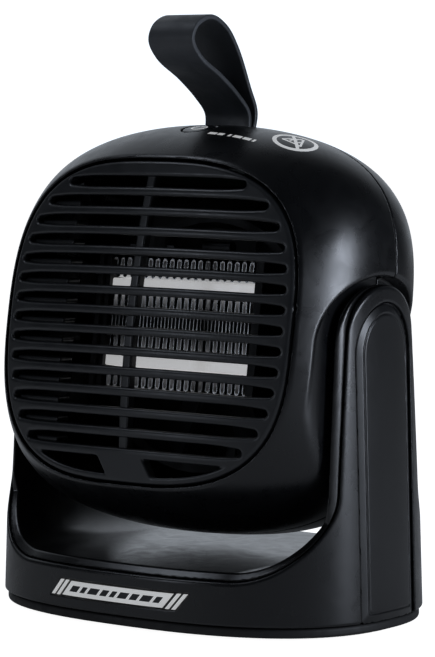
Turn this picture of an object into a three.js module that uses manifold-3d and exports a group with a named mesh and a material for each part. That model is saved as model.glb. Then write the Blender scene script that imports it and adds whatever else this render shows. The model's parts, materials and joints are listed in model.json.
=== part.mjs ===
// Ceramic space heater: a rounded heater head that tilts between the two arms of a stand.
// Millimetres, +Z up, front of the heater towards -Y. Origin: centre of the footprint, on the table.

import * as THREE from 'three';
import { mergeVertices } from 'three/addons/utils/BufferGeometryUtils.js';
import Module from 'manifold-3d';

const wasm = await Module();
wasm.setup();

// ---- Driving dimensions ----

// Small distances used everywhere
const GAP = 0.3;                 // between touching pieces
const FIT = 0.2;                 // round a screw or pin, on the radius
const WALL = 2.2;                // moulded wall
const PAST = 6;                  // how far a cutter runs past what it cuts
const FAR = 120;                 // beyond the whole heater

// Stand: a column of superellipse section with drafted sides
const STAND = { halfWidth: 80, halfDepth: 54.3, exponent: 2.49, draft: 0.0293, bottom: 5, top: 121 };
const PIVOT_Z = 95.9;            // tilt axis, along X
const ARCH_HEIGHT = 24.1;        // arm top above the tilt axis
const ARM_HALF_DEPTH = 22;
const HORSESHOE = { halfWidth: 73.4, floor: 20, corner: 29 };      // opening of the shell
const CRADLE = { halfWidth: 70.6, floor: 22.8, corner: 27, inset: 1, halfDepth: 25 };
const HOLLOW_TOP = 46;
const PLATE = { inset: 1.2, bottom: 1.2, top: 4.7 };
const FOOT = { radius: 7, x: 50, y: 30, recess: 0.8 };
const BASE_SCREW = { x: 58, y: 21, head: 2.9, shank: 1.5, post: 4, under: 1.4, seat: 2.7, top: 16 };
const COVER = { halfDepth: 15.5, archHeight: 17.5, bottom: 5.3, groove: 0.7, depth: 1.7, sunk: 0.25 };
const TIP_SWITCH = { x: 14, y: 0, length: 20, width: 10, height: 9.7 };
const GLAND = { z: 12.5, flange: 6, neck: 4, hole: 2.8, flangeDepth: 1.6, length: 9 };
const BADGE = { halfWidth: 28, height: 5.6, z: 12.25, lean: 2.4, sunk: 0.5, proud: 0.1 };

// Head, in its own frame: origin on the tilt axis, +Y backwards, +Z up
const TILT = THREE.MathUtils.degToRad(8.7);
const HEAD = { halfWidth: 76.4, up: 78.4, down: 67.4, expX: 2.12, expZ: 4.47, frontPower: 2.18 };
const REAR = { depth: 46, power: 2.4, fuller: 1.4 };             // fuller towards the bottom
const SEAM_Y = 2.3;
const GRILLE = { halfWidth: 63.1, halfHeight: 56.4, z: 4.35, exponent: 3.03, thickness: 3.2 };
const FACE = { y: -47.16, radiusX: 222, radiusZ: 335 };            // bulge of the front face
const RIM = 1.4;                 // lip around the grille
const CASING_POINTS = 44;           // points round each casing outline
const SLOT = { pitch: 7.03, top: 53.12, height: 3.8, rows: 14, margin: 2.6, blockHalf: 10.2 };
const RIB = { half: 1.9, front: 1.5, rear: 5 };              // behind the face's middle
const POCKET = { halfWidth: 30.5, archHeight: 27, floor: 68.2 };
const INTAKE = { count: 9, pitch: 8, width: 3.4, half: 36, taper: 0.55, z: 2 };

// Heating element and its duct
const ELEMENT = { halfWidth: 32.3, z: 5, front: -19, depth: 12, fin: 7.3, bar: 4.2, folds: 20, foil: 0.5 };
const ELEMENT_STACK = ['fin', 'bar', 'fin', 'fin', 'fin', 'bar', 'fin'];       // from the top
const DUCT = { halfWidth: 37, halfHeight: 26, wall: 2, front: -21.5, rear: -4.6 };
const CUTOUT = { x: -14, y: -18, radius: 7.5, height: 6, earHalf: 10, earHalfDepth: 3, earThickness: 1.6 };
const FUSE = { radius: 2, x0: 8, x1: 20, y: -18 };

// Fan
const FAN = { hub: 13, tip: 42, blades: 7, front: 1, depth: 12, shaft: 1.6 };
const BLADE = { pitch: [48, 58, 66], chord: [12, 17, 19], thickness: 1.6 };          // hub, middle, tip
const SHROUD = { inner: 43.5, outer: 46.5, front: -4, rear: 22, spokes: 3 };
const MOTOR = { radius: 15, front: 16, length: 17 };

// Pivot, controls and strap
const FILTER = { radius: 41, front: 34.5, thickness: 1 };
const PIN = { radius: 4, head: 7, inner: 58, shoulder: 73.6, outer: 75.2 };
const WASHER = { radius: 11, bore: 4.3 };
const BOARD = { halfX: 32, front: -30, rear: 8, z: 58, thickness: 1.6 };
const BUTTON = { x: 0.6, y: -18.6, radius: 6, stem: 1.8, bottom: 70, top: 75.2, travel: 1.2 };
const SWITCH = { half: 3, height: 4 };
const SYMBOL = { x: 40.3, y: -14.5, radius: 8.4, thickness: 1.2 };
const STRAP = { halfWidth: 10, thickness: 1.8, slotHalfDepth: 3.3, slotFloor: 70 };
const ANCHOR = { halfWidth: 13, halfDepth: 4, bottom: 71, top: 74.6 };
const STRAP_LINE = [
  [1.15, 75.7], [1.7, 84], [-3.5, 92], [-12.5, 104.5], [-20, 111], [-29, 113.2], [-36.6, 109],
  [-38.2, 103.6], [-33, 98.4], [-20, 93.4], [-9, 88], [-2.4, 83], [-1.15, 75.7],
];
const SHELL_SCREWS = [[61, 54], [-61, 54], [59.5, -50], [-59.5, -50]];
const SCREW = { shank: 1.5, head: 3, headHeight: 2.2, post: 5, seat: 9, tip: -8 };

// ---- Materials ----

const material = (color, roughness, metalness = 0) =>
  new THREE.MeshStandardMaterial({ color, roughness, metalness });
const shellBlack = material(0x17181a, 0.42);
const innerBlack = material(0x101113, 0.6);
const grilleBlack = material(0x1c1d20, 0.38);
const aluminium = material(0xc9ccd0, 0.3, 1);
const steel = material(0x8d9196, 0.35, 1);
const leather = material(0x2f3236, 0.75);
const rubber = material(0x1a1a1a, 0.9);
const white = material(0xe8e8e6, 0.5);
const boardGreen = material(0x1f5a38, 0.55);
const nylon = material(0xb9b7ae, 0.6);

// ---- Solids ----

// Closed three.js geometry to a solid that can be cut and joined.
function solid(geometry) {
  const bare = geometry.clone();
  bare.deleteAttribute('normal');
  bare.deleteAttribute('uv');
  const merged = mergeVertices(bare, 1e-4);
  const vertProperties = new Float32Array(merged.attributes.position.array);
  const triVerts = new Uint32Array(merged.index.array);
  return new wasm.Manifold(new wasm.Mesh({ numProp: 3, vertProperties, triVerts }));
}

function geometryOf(body) {
  const mesh = body.getMesh();
  const geometry = new THREE.BufferGeometry();
  geometry.setAttribute('position', new THREE.BufferAttribute(new Float32Array(mesh.vertProperties), 3));
  geometry.setIndex(new THREE.BufferAttribute(new Uint32Array(mesh.triVerts), 1));
  geometry.computeVertexNormals();
  return geometry;
}

function joined(bodies) {
  return bodies.reduce((all, body) => all.add(body));
}

function cut(body, tools) {
  return tools.reduce((rest, tool) => rest.subtract(tool), body);
}

// Outline seen from the front (x, z), run along Y.
function prismY(shape, y0, y1, curveSegments = 10) {
  const geometry = new THREE.ExtrudeGeometry(shape, { depth: y1 - y0, bevelEnabled: false, curveSegments });
  return geometry.rotateX(Math.PI / 2).translate(0, y1, 0);
}

// Outline seen from the right side (y, z), run along X.
function prismX(shape, x0, x1, curveSegments = 10) {
  const geometry = new THREE.ExtrudeGeometry(shape, { depth: x1 - x0, bevelEnabled: false, curveSegments });
  const axes = new THREE.Matrix4().makeBasis(
    new THREE.Vector3(0, 1, 0), new THREE.Vector3(0, 0, 1), new THREE.Vector3(1, 0, 0));
  return geometry.applyMatrix4(axes).translate(x0, 0, 0);
}

function box(x0, x1, y0, y1, z0, z1) {
  const geometry = new THREE.BoxGeometry(x1 - x0, y1 - y0, z1 - z0);
  return geometry.translate((x0 + x1) / 2, (y0 + y1) / 2, (z0 + z1) / 2);
}

// Round bars along each axis.
function rodX(radius, x0, x1, y = 0, z = 0, sides = 20) {
  const geometry = new THREE.CylinderGeometry(radius, radius, x1 - x0, sides).rotateZ(Math.PI / 2);
  return geometry.translate((x0 + x1) / 2, y, z);
}

function rodY(radius, y0, y1, x = 0, z = 0, sides = 20) {
  return new THREE.CylinderGeometry(radius, radius, y1 - y0, sides).translate(x, (y0 + y1) / 2, z);
}

function rodZ(radius, z0, z1, x = 0, y = 0, sides = 20) {
  const geometry = new THREE.CylinderGeometry(radius, radius, z1 - z0, sides).rotateX(Math.PI / 2);
  return geometry.translate(x, y, (z0 + z1) / 2);
}

// Closed skin over a stack of rings that all have the same number of points.
function loft(rings) {
  const count = rings[0].length;
  const points = rings.flat();
  const index = [];
  for (let r = 0; r < rings.length - 1; r++) {
    for (let i = 0; i < count; i++) {
      const a = r * count + i;
      const b = r * count + (i + 1) % count;
      index.push(a, b, b + count, a, b + count, a + count);
    }
  }
  const last = (rings.length - 1) * count;
  points.push(middle(rings[0]), middle(rings[rings.length - 1]));
  for (let i = 0; i < count; i++) {
    const next = (i + 1) % count;
    index.push(points.length - 2, next, i, points.length - 1, last + i, last + next);
  }
  const geometry = new THREE.BufferGeometry().setFromPoints(points);
  geometry.setIndex(signedVolume(points, index) < 0 ? index.reverse() : index);
  return geometry;
}

function signedVolume(points, index) {
  let sum = 0;
  for (let i = 0; i < index.length; i += 3) {
    const normal = points[index[i + 1]].clone().cross(points[index[i + 2]]);
    sum += points[index[i]].dot(normal);
  }
  return sum / 6;
}

function middle(ring) {
  return ring.reduce((sum, p) => sum.add(p), new THREE.Vector3()).divideScalar(ring.length);
}

// Distance from the centre to a superellipse |x/a|^p + |y/b|^q = 1 in the direction of an angle.
function ovalRadius(angle, a, b, p, q = p) {
  const cos = Math.abs(Math.cos(angle));
  const sin = Math.abs(Math.sin(angle));
  let low = 0;
  let high = a + b;
  for (let i = 0; i < 40; i++) {
    const r = (low + high) / 2;
    if ((r * cos / a) ** p + (r * sin / b) ** q < 1) low = r;
    else high = r;
  }
  return high;
}

// Superellipse outline as [across, up] pairs; the lower half may have its own height.
function oval(a, up, down, p, q, count) {
  return Array.from({ length: count }, (_, i) => {
    const angle = 2 * Math.PI * i / count;
    const r = ovalRadius(angle, a, Math.sin(angle) > 0 ? up : down, p, q);
    return [r * Math.cos(angle), r * Math.sin(angle)];
  });
}

// Arch outline: straight legs from `foot` up to `spring`, then half an ellipse.
function arch(halfWidth, height, spring, foot) {
  const shape = new THREE.Shape();
  shape.moveTo(-halfWidth, foot);
  shape.lineTo(halfWidth, foot);
  shape.lineTo(halfWidth, spring);
  shape.absellipse(0, spring, halfWidth, height, 0, Math.PI, false);
  return shape;
}

// Horseshoe outline: two legs and a floor with rounded corners.
function horseshoe({ halfWidth, floor, corner }, top = FAR + PIVOT_Z) {
  const shape = new THREE.Shape();
  shape.moveTo(-halfWidth, top);
  shape.lineTo(-halfWidth, floor + corner);
  shape.absarc(corner - halfWidth, floor + corner, corner, Math.PI, 1.5 * Math.PI, false);
  shape.absarc(halfWidth - corner, floor + corner, corner, 1.5 * Math.PI, 2 * Math.PI, false);
  shape.lineTo(halfWidth, top);
  return shape;
}

// ---- Stand ----

// The stand's drafted column between two heights, drawn in by `inset` all round.
function column(z0, z1, inset = 0, count = 48) {
  const ring = (z) => oval(
    STAND.halfWidth - STAND.draft * z - inset,
    STAND.halfDepth - STAND.draft * z - inset,
    STAND.halfDepth - STAND.draft * z - inset,
    STAND.exponent, STAND.exponent, count,
  ).map(([x, y]) => new THREE.Vector3(x, y, z));
  return loft([ring(z0), ring(z1)]);
}

// Column cut to the arches at the top of the arms.
function archedColumn(bottom, inset, halfDepth) {
  const body = solid(column(bottom, STAND.top, inset));
  const top = solid(prismX(arch(halfDepth, ARCH_HEIGHT, PIVOT_Z, 0), -FAR, FAR, 12));
  const below = solid(box(-FAR, FAR, -FAR, FAR, 0, PIVOT_Z));
  return body.intersect(top.add(below));
}

const coverOutline = (margin) =>
  arch(COVER.halfDepth + margin, COVER.archHeight + margin, PIVOT_Z, COVER.bottom - margin);

function sideCover(side) {
  const behind = solid(column(-1, STAND.top + 1, COVER.depth - GAP));
  const skin = solid(column(0, STAND.top, COVER.sunk)).subtract(behind);
  const outline = solid(prismX(coverOutline(0), side > 0 ? 60 : -FAR, side > 0 ? FAR : -60, 12));
  return geometryOf(skin.intersect(outline));
}

function badgeOutline(margin) {
  const halfWidth = BADGE.halfWidth + margin;
  const halfHeight = BADGE.height / 2 + margin;
  return new THREE.Shape([
    new THREE.Vector2(-halfWidth - BADGE.lean, BADGE.z - halfHeight),
    new THREE.Vector2(halfWidth - BADGE.lean, BADGE.z - halfHeight),
    new THREE.Vector2(halfWidth + BADGE.lean, BADGE.z + halfHeight),
    new THREE.Vector2(-halfWidth + BADGE.lean, BADGE.z + halfHeight),
  ]);
}

function badge() {
  const front = solid(column(0, HOLLOW_TOP, -BADGE.proud));
  const skin = front.subtract(solid(column(-1, HOLLOW_TOP + 1, BADGE.sunk)));
  return geometryOf(skin.intersect(solid(prismY(badgeOutline(0), -FAR, 0))));
}

const corners = (x, y) => [[x, -y], [-x, -y], [x, y], [-x, y]];

function standShell() {
  const outer = archedColumn(STAND.bottom, 0, ARM_HALF_DEPTH);
  const opening = prismY(horseshoe(HORSESHOE), -FAR, FAR, 8);
  const under = { ...HORSESHOE, halfWidth: HORSESHOE.halfWidth + WALL, floor: HORSESHOE.floor - WALL };
  const hollow = solid(column(STAND.bottom - PAST, HOLLOW_TOP, WALL))
    .subtract(solid(prismY(horseshoe(under), -FAR, FAR, 8)));
  const deep = solid(column(-1, STAND.top + 1, COVER.depth));
  const pockets = solid(prismX(coverOutline(COVER.groove), -FAR, FAR, 12)).subtract(deep);
  const behindBadge = solid(column(-1, HOLLOW_TOP, BADGE.sunk + GAP));
  const badgeSeat = solid(prismY(badgeOutline(GAP), -FAR, 0)).subtract(behindBadge);
  const posts = corners(BASE_SCREW.x, BASE_SCREW.y).map(([x, y]) =>
    solid(rodZ(BASE_SCREW.post, STAND.bottom + GAP, HORSESHOE.floor + PAST, x, y, 12)));
  const bores = corners(BASE_SCREW.x, BASE_SCREW.y).map(([x, y]) =>
    solid(rodZ(BASE_SCREW.shank + FIT, 0, BASE_SCREW.top + 1, x, y, 8)));
  const pinHoles = solid(rodX(PIN.head + GAP, -FAR, FAR, 0, PIVOT_Z));
  const back = STAND.halfDepth - STAND.draft * GLAND.z;
  const glandHole = solid(rodY(GLAND.neck + GAP, back - GLAND.length, FAR, 0, GLAND.z, 16));
  const glandSeat = solid(rodY(GLAND.flange + GAP, back - GLAND.flangeDepth - GAP, FAR, 0, GLAND.z, 20));
  const skin = joined([cut(outer, [hollow]), ...posts]);
  const seats = [pockets, badgeSeat, glandHole, glandSeat];
  return geometryOf(cut(skin, [solid(opening), ...seats, ...bores, pinHoles]));
}

// Trough under the head, with a cheek inside each arm.
function cradle() {
  const outer = { ...HORSESHOE, halfWidth: HORSESHOE.halfWidth - GAP, floor: HORSESHOE.floor + GAP };
  const trough = solid(prismY(horseshoe(CRADLE, 2 * FAR + PIVOT_Z), -FAR - 1, FAR + 1, 8));
  const strip = solid(prismY(horseshoe(outer), -FAR, FAR, 8)).subtract(trough);
  const bore = solid(rodX(PIN.radius + FIT, -FAR, FAR, 0, PIVOT_Z));
  const blank = archedColumn(HORSESHOE.floor, CRADLE.inset, CRADLE.halfDepth);
  return geometryOf(blank.intersect(strip).subtract(bore));
}

function basePlate() {
  const plate = solid(column(PLATE.bottom, PLATE.top, PLATE.inset));
  const footSeats = corners(FOOT.x, FOOT.y).map(([x, y]) =>
    solid(rodZ(FOOT.radius + GAP, 0, PLATE.bottom + FOOT.recess + GAP, x, y, 16)));
  const seats = corners(BASE_SCREW.x, BASE_SCREW.y).map(([x, y]) =>
    solid(rodZ(BASE_SCREW.head + GAP, 0, BASE_SCREW.seat + GAP, x, y, 12)));
  const bores = corners(BASE_SCREW.x, BASE_SCREW.y).map(([x, y]) =>
    solid(rodZ(BASE_SCREW.shank + FIT, 0, PLATE.top + 1, x, y, 8)));
  return geometryOf(cut(plate, [...footSeats, ...seats, ...bores]));
}

function screwZ(x, y) {
  const { head, shank, under, seat, top } = BASE_SCREW;
  const bolt = solid(rodZ(shank, seat - FIT, top, x, y, 8));
  return geometryOf(solid(rodZ(head, under, seat, x, y, 12)).add(bolt));
}

// Cord gland: a flanged bush, flush with the back of the base.
function cordGland() {
  const face = STAND.halfDepth - STAND.draft * GLAND.z - FIT;
  const shoulder = face - GLAND.flangeDepth + FIT;
  const profile = [
    [GLAND.hole, face], [GLAND.flange, face], [GLAND.flange, shoulder],
    [GLAND.neck, shoulder], [GLAND.neck, face - GLAND.length], [GLAND.hole, face - GLAND.length],
  ].map(([r, y]) => new THREE.Vector2(r, y));
  profile.push(profile[0].clone());
  return new THREE.LatheGeometry(profile.reverse(), 20).translate(0, 0, GLAND.z);
}

// Over-centre rocker that cuts the power when the base leaves the table.
function tipSwitch() {
  const { x, y, length, width, height } = TIP_SWITCH;
  const floor = PLATE.top + GAP;
  return box(x, x + length, y - width / 2, y + width / 2, floor, floor + height);
}

// ---- Head casing ----

const headOutline = (inset, count) =>
  oval(HEAD.halfWidth - inset, HEAD.up - inset, HEAD.down - inset, HEAD.expX, HEAD.expZ, count);

const faceY = (x, z) => FACE.y + x * x / (2 * FACE.radiusX) + z * z / (2 * FACE.radiusZ);

function rimOutline(margin, count) {
  const { halfWidth, halfHeight, exponent } = GRILLE;
  return oval(halfWidth + margin, halfHeight + margin, halfHeight + margin, exponent, exponent, count)
    .map(([x, z]) => [x, z + GRILLE.z]);
}

// Rings from the grille rim back to the widest section; `wall` draws the skin inwards.
function frontRings(wall, margin, count) {
  const wide = headOutline(wall, count);
  const rim = rimOutline(margin, count);
  return [1, 0.84, 0.66, 0.44, 0].map((t) => {
    const share = t ** HEAD.frontPower;
    return wide.map(([x, z], i) => {
      const [rimX, rimZ] = rim[i];
      return new THREE.Vector3(x + (rimX - x) * share, faceY(rimX, rimZ) * t, z + (rimZ - z) * share);
    });
  });
}

function rearRing(y, wall, count) {
  return headOutline(wall, count).map(([x, z]) => {
    const down = Math.max(0, -z / Math.hypot(x, z));
    const power = REAR.power + REAR.fuller * down * down;
    const shrink = (1 - (y / (REAR.depth - wall)) ** power) ** (1 / power);
    return new THREE.Vector3(x * shrink, y, z * shrink);
  });
}

const pocketOutline = (margin) =>
  arch(POCKET.halfWidth + margin, POCKET.archHeight + margin, 0, -FAR);

// Both pockets for the arms, each as deep as `floor` from the middle.
function pockets(margin, floor) {
  const between = box(-floor, floor, -FAR, FAR, -FAR * 2, FAR);
  return solid(prismX(pocketOutline(margin), -FAR, FAR, 10)).subtract(solid(between));
}

function casing(rings, hollowRings) {
  const hollow = solid(loft(hollowRings)).subtract(pockets(WALL, POCKET.floor - WALL));
  return cut(solid(loft(rings)), [hollow, pockets(0, POCKET.floor)]);
}

function frontShell() {
  const count = CASING_POINTS;
  const rings = [...frontRings(0, RIM, count), rearRing(SEAM_Y - GAP / 2, 0, count)];
  const inner = frontRings(WALL, GAP, count);
  const mouth = inner[0].map((p) => p.clone().setY(p.y - PAST));
  const seat = inner[0].map((p) => p.clone().setY(p.y + GRILLE.thickness + GAP));
  const hollow = [mouth, seat, ...inner.slice(1), rearRing(SEAM_Y + 1, WALL, count)];
  const posts = SHELL_SCREWS.map(([x, z]) =>
    solid(rodY(SCREW.post, SCREW.tip - PAST, SEAM_Y - GAP / 2, x, z, 12)));
  const inside = joined(posts).intersect(solid(loft(rings)));
  const holes = [
    solid(rodZ(BUTTON.radius + GAP, BOARD.z, FAR, BUTTON.x, BUTTON.y, 24)),
    symbolSeat(),
    strapSlot(),
    solid(rodX(PIN.radius + GAP, -FAR, FAR)),
    ...screwBores(),
  ];
  return geometryOf(cut(casing(rings, hollow).add(inside), holes));
}

const screwBores = () =>
  SHELL_SCREWS.map(([x, z]) => solid(rodY(SCREW.shank + FIT, SCREW.tip - GAP, FAR, x, z, 10)));

// Slot through the dome for the two tails of the strap.
function strapSlot() {
  const halfWidth = STRAP.halfWidth + 2 * GAP;
  return solid(box(-halfWidth, halfWidth, -STRAP.slotHalfDepth, STRAP.slotHalfDepth, STRAP.slotFloor, FAR));
}

function rearShell() {
  const count = CASING_POINTS;
  const stations = [SEAM_Y + GAP / 2, 16, 28, 36.5, 42.5, 45.6];
  const rings = stations.map((y) => rearRing(y, 0, count));
  const hollow = [SEAM_Y - 1, 16, 28, 36.5, 41, 43.4].map((y) => rearRing(y, WALL, count));
  const posts = SHELL_SCREWS.map(([x, z]) => solid(rodY(SCREW.post, SEAM_Y + GAP / 2, FAR, x, z, 12)));
  const inside = joined(posts).intersect(solid(loft(rings)));
  const seats = SHELL_SCREWS.map(([x, z]) =>
    solid(rodY(SCREW.head + GAP, SCREW.seat - GAP, FAR, x, z, 14)));
  const slots = Array.from({ length: INTAKE.count }, (_, i) => {
    const x = (i - (INTAKE.count - 1) / 2) * INTAKE.pitch;
    const reach = Math.sqrt(INTAKE.half ** 2 - INTAKE.taper * x * x);
    const half = INTAKE.width / 2;
    return solid(box(x - half, x + half, SHROUD.rear, FAR, INTAKE.z - reach, INTAKE.z + reach));
  });
  const pinHoles = solid(rodX(PIN.radius + GAP, -FAR, FAR));
  const holes = [...screwBores(), ...seats, ...slots, strapSlot(), pinHoles];
  return geometryOf(cut(casing(rings, hollow).add(inside), holes));
}

// Domed louvre grille: a rim, bars with slots between them, and an upright rib behind the bars.
function frontGrille() {
  const edge = rimOutline(0, CASING_POINTS);
  const ringAt = (back) => edge.map(([x, z]) => new THREE.Vector3(x, faceY(x, z) + back, z));
  const inner = rimOutline(-SLOT.margin, CASING_POINTS).map(([x, z]) => new THREE.Vector2(x, z));
  const hole = solid(prismY(new THREE.Shape(inner), -FAR, 0));
  const rim = solid(loft([ringAt(GRILLE.thickness), ringAt(0)])).subtract(hole);
  const bars = [];
  for (let row = 0; row < SLOT.rows; row++) {
    const z = SLOT.top - (row + 0.5) * SLOT.pitch;
    const height = SLOT.pitch - SLOT.height;
    const outerEdge = z + Math.sign(z - GRILLE.z) * height / 2;
    bars.push(louvreBar(z, height, grilleHalfWidth(outerEdge) - SLOT.margin * 0.3, 8));
  }
  const bottom = GRILLE.z - GRILLE.halfHeight + 1;
  const lowest = SLOT.top - SLOT.rows * SLOT.pitch;
  const blockTop = lowest + SLOT.pitch / 2;
  const block = louvreBar((bottom + blockTop) / 2, blockTop - bottom, SLOT.blockHalf, 1);
  const top = GRILLE.z + GRILLE.halfHeight - 1;
  const rib = box(-RIB.half, RIB.half, FACE.y + RIB.front, FACE.y + RIB.rear, lowest, top);
  return geometryOf(joined([rim, ...bars, block, solid(rib)]));
}

// One bar across the grille at height z, following the bulge of the face.
function louvreBar(z, height, reach, steps) {
  const sections = Array.from({ length: steps + 1 }, (_, i) => {
    const x = reach * (2 * i / steps - 1);
    const corner = (back, up) => new THREE.Vector3(x, faceY(x, z) + back, z + up * height / 2);
    return [corner(0, -1), corner(GRILLE.thickness, -1), corner(GRILLE.thickness, 1), corner(0, 1)];
  });
  return solid(loft(sections));
}

// Half width of the grille at height z.
function grilleHalfWidth(z) {
  const rise = Math.abs(z - GRILLE.z) / GRILLE.halfHeight;
  return GRILLE.halfWidth * (1 - rise ** GRILLE.exponent) ** (1 / GRILLE.exponent);
}

// ---- Heating element ----

function airDuct() {
  const { halfWidth, halfHeight, wall, front, rear } = DUCT;
  const bottom = ELEMENT.z - halfHeight;
  const top = ELEMENT.z + halfHeight;
  const outer = solid(box(-halfWidth, halfWidth, front, rear, bottom, top));
  const bore = box(wall - halfWidth, halfWidth - wall, front - 1, rear + 1, bottom + wall, top - wall);
  return geometryOf(outer.subtract(solid(bore)));
}

// Upright end piece that holds the bars and fins.
function elementEnd(side) {
  const inner = ELEMENT.halfWidth + GAP;
  const outer = DUCT.halfWidth - DUCT.wall - GAP;
  const reach = DUCT.halfHeight - DUCT.wall - GAP;
  const [x0, x1] = side > 0 ? [inner, outer] : [-outer, -inner];
  const rear = ELEMENT.front + ELEMENT.depth;
  return box(x0, x1, ELEMENT.front - 1, rear + 1, ELEMENT.z - reach, ELEMENT.z + reach);
}

// Underside height of each layer, from the top down.
function layerHeights() {
  const total = ELEMENT_STACK.reduce((sum, kind) => sum + ELEMENT[kind] + GAP, -GAP);
  let z = ELEMENT.z + total / 2;
  return ELEMENT_STACK.map((kind) => {
    z -= ELEMENT[kind];
    const base = z;
    z -= GAP;
    return { kind, base };
  });
}

function ceramicBar(base) {
  const { halfWidth, front, depth, bar } = ELEMENT;
  return box(-halfWidth, halfWidth, front, front + depth, base, base + bar);
}

// Folded foil: one zigzag strip, run from front to back.
function finPack(base) {
  const { halfWidth, front, depth, fin, folds, foil } = ELEMENT;
  const step = 2 * halfWidth / (2 * folds);
  const upper = [];
  const lower = [];
  for (let i = 0; i <= 2 * folds; i++) {
    const x = -halfWidth + i * step;
    const high = i % 2;
    upper.push(new THREE.Vector2(x, high ? base + fin : base + foil * 2));
    lower.push(new THREE.Vector2(x, high ? base + fin - foil * 2 : base));
  }
  return prismY(new THREE.Shape([...lower, ...upper.reverse()]), front, front + depth);
}

function thermalCutout() {
  const { x, y, radius, height, earHalf, earHalfDepth, earThickness } = CUTOUT;
  const top = ELEMENT.z + DUCT.halfHeight + GAP;
  const can = solid(rodZ(radius, top, top + height, x, y, 24));
  const ears = box(x - earHalf, x + earHalf, y - earHalfDepth, y + earHalfDepth, top, top + earThickness);
  return geometryOf(can.add(solid(ears)));
}

function thermalFuse() {
  const top = ELEMENT.z + DUCT.halfHeight + GAP;
  return rodX(FUSE.radius, FUSE.x0, FUSE.x1, FUSE.y, top + FUSE.radius, 12);
}

// ---- Fan ----

function ring(outer, inner, y0, y1, sides = 40) {
  const profile = [[inner, y0], [outer, y0], [outer, y1], [inner, y1], [inner, y0]];
  return new THREE.LatheGeometry(profile.map(([r, y]) => new THREE.Vector2(r, y)), sides);
}

function fanShroud() {
  const tube = solid(ring(SHROUD.outer, SHROUD.inner, SHROUD.front, SHROUD.rear));
  const cup = solid(ring(MOTOR.radius + 2.5, MOTOR.radius + GAP, MOTOR.front + 1, SHROUD.rear, 32));
  const spokes = Array.from({ length: SHROUD.spokes }, (_, i) => {
    const spoke = box(MOTOR.radius + 1, SHROUD.inner + 1, SHROUD.rear - 4, SHROUD.rear, -2, 2);
    return solid(spoke.rotateY(2 * Math.PI * i / SHROUD.spokes + Math.PI / 2));
  });
  return geometryOf(joined([tube, cup, ...spokes]));
}

function fanMotor() {
  const can = solid(rodY(MOTOR.radius, MOTOR.front, MOTOR.front + MOTOR.length, 0, 0, 32));
  return geometryOf(can.subtract(solid(rodY(FAN.shaft + 0.1, 0, MOTOR.front + 12, 0, 0, 16))));
}

// One twisted blade between hub and tip.
function fanBlade(angle) {
  const sections = [FAN.hub - 1, (FAN.hub + FAN.tip) / 2, FAN.tip].map((radius, i) => {
    const pitch = THREE.MathUtils.degToRad(BLADE.pitch[i]);
    const chord = BLADE.chord[i];
    const along = Math.sin(pitch) * chord / 2;
    const deep = Math.cos(pitch) * chord / 2;
    const across = Math.cos(pitch) * BLADE.thickness / 2;
    const through = Math.sin(pitch) * BLADE.thickness / 2;
    const mid = FAN.front + FAN.depth / 2;
    return [[-1, -1], [1, -1], [1, 1], [-1, 1]].map(([u, v]) =>
      new THREE.Vector3(u * along + v * across, mid + u * deep - v * through, radius));
  });
  return solid(loft(sections).rotateY(angle));
}

function impeller() {
  const hub = solid(rodY(FAN.hub, FAN.front, FAN.front + FAN.depth, 0, 0, 32));
  const blades = Array.from({ length: FAN.blades }, (_, i) => fanBlade(2 * Math.PI * i / FAN.blades));
  const bore = solid(rodY(FAN.shaft + GAP / 2, -FAR, FAR, 0, 0, 16));
  return geometryOf(joined([hub, ...blades]).subtract(bore));
}

function fanShaft() {
  return rodY(FAN.shaft, FAN.front - 1, MOTOR.front + 11, 0, 0, 16);
}

// Dust filter between the motor and the intake slots.
function dustFilter() {
  return rodY(FILTER.radius, FILTER.front, FILTER.front + FILTER.thickness, 0, 0, 36);
}

// ---- Pivots, controls and strap ----

function pivotPin(side) {
  const shank = solid(rodX(PIN.radius, PIN.inner, PIN.shoulder + FIT, 0, PIVOT_Z));
  const pin = geometryOf(shank.add(solid(rodX(PIN.head, PIN.shoulder, PIN.outer, 0, PIVOT_Z))));
  return side > 0 ? pin : pin.rotateZ(Math.PI);
}

function frictionWasher(side) {
  const outer = solid(rodX(WASHER.radius, POCKET.floor + GAP, CRADLE.halfWidth - GAP, 0, PIVOT_Z, 28));
  const washer = geometryOf(outer.subtract(solid(rodX(WASHER.bore, 0, FAR, 0, PIVOT_Z))));
  return side > 0 ? washer : washer.rotateZ(Math.PI);
}

function controlBoard() {
  return box(-BOARD.halfX, BOARD.halfX, BOARD.front, BOARD.rear, BOARD.z, BOARD.z + BOARD.thickness);
}

function buttonSwitch() {
  const base = BOARD.z + BOARD.thickness + GAP;
  const { half, height } = SWITCH;
  return box(BUTTON.x - half, BUTTON.x + half, BUTTON.y - half, BUTTON.y + half, base, base + height);
}

function powerButton() {
  const cap = solid(rodZ(BUTTON.radius, BUTTON.bottom, BUTTON.top, BUTTON.x, BUTTON.y, 28));
  const stemFoot = BOARD.z + BOARD.thickness + SWITCH.height + 2 * GAP + BUTTON.travel;
  const stem = solid(rodZ(BUTTON.stem, stemFoot, BUTTON.bottom + 1, BUTTON.x, BUTTON.y, 12));
  return geometryOf(cap.add(stem));
}

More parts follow.
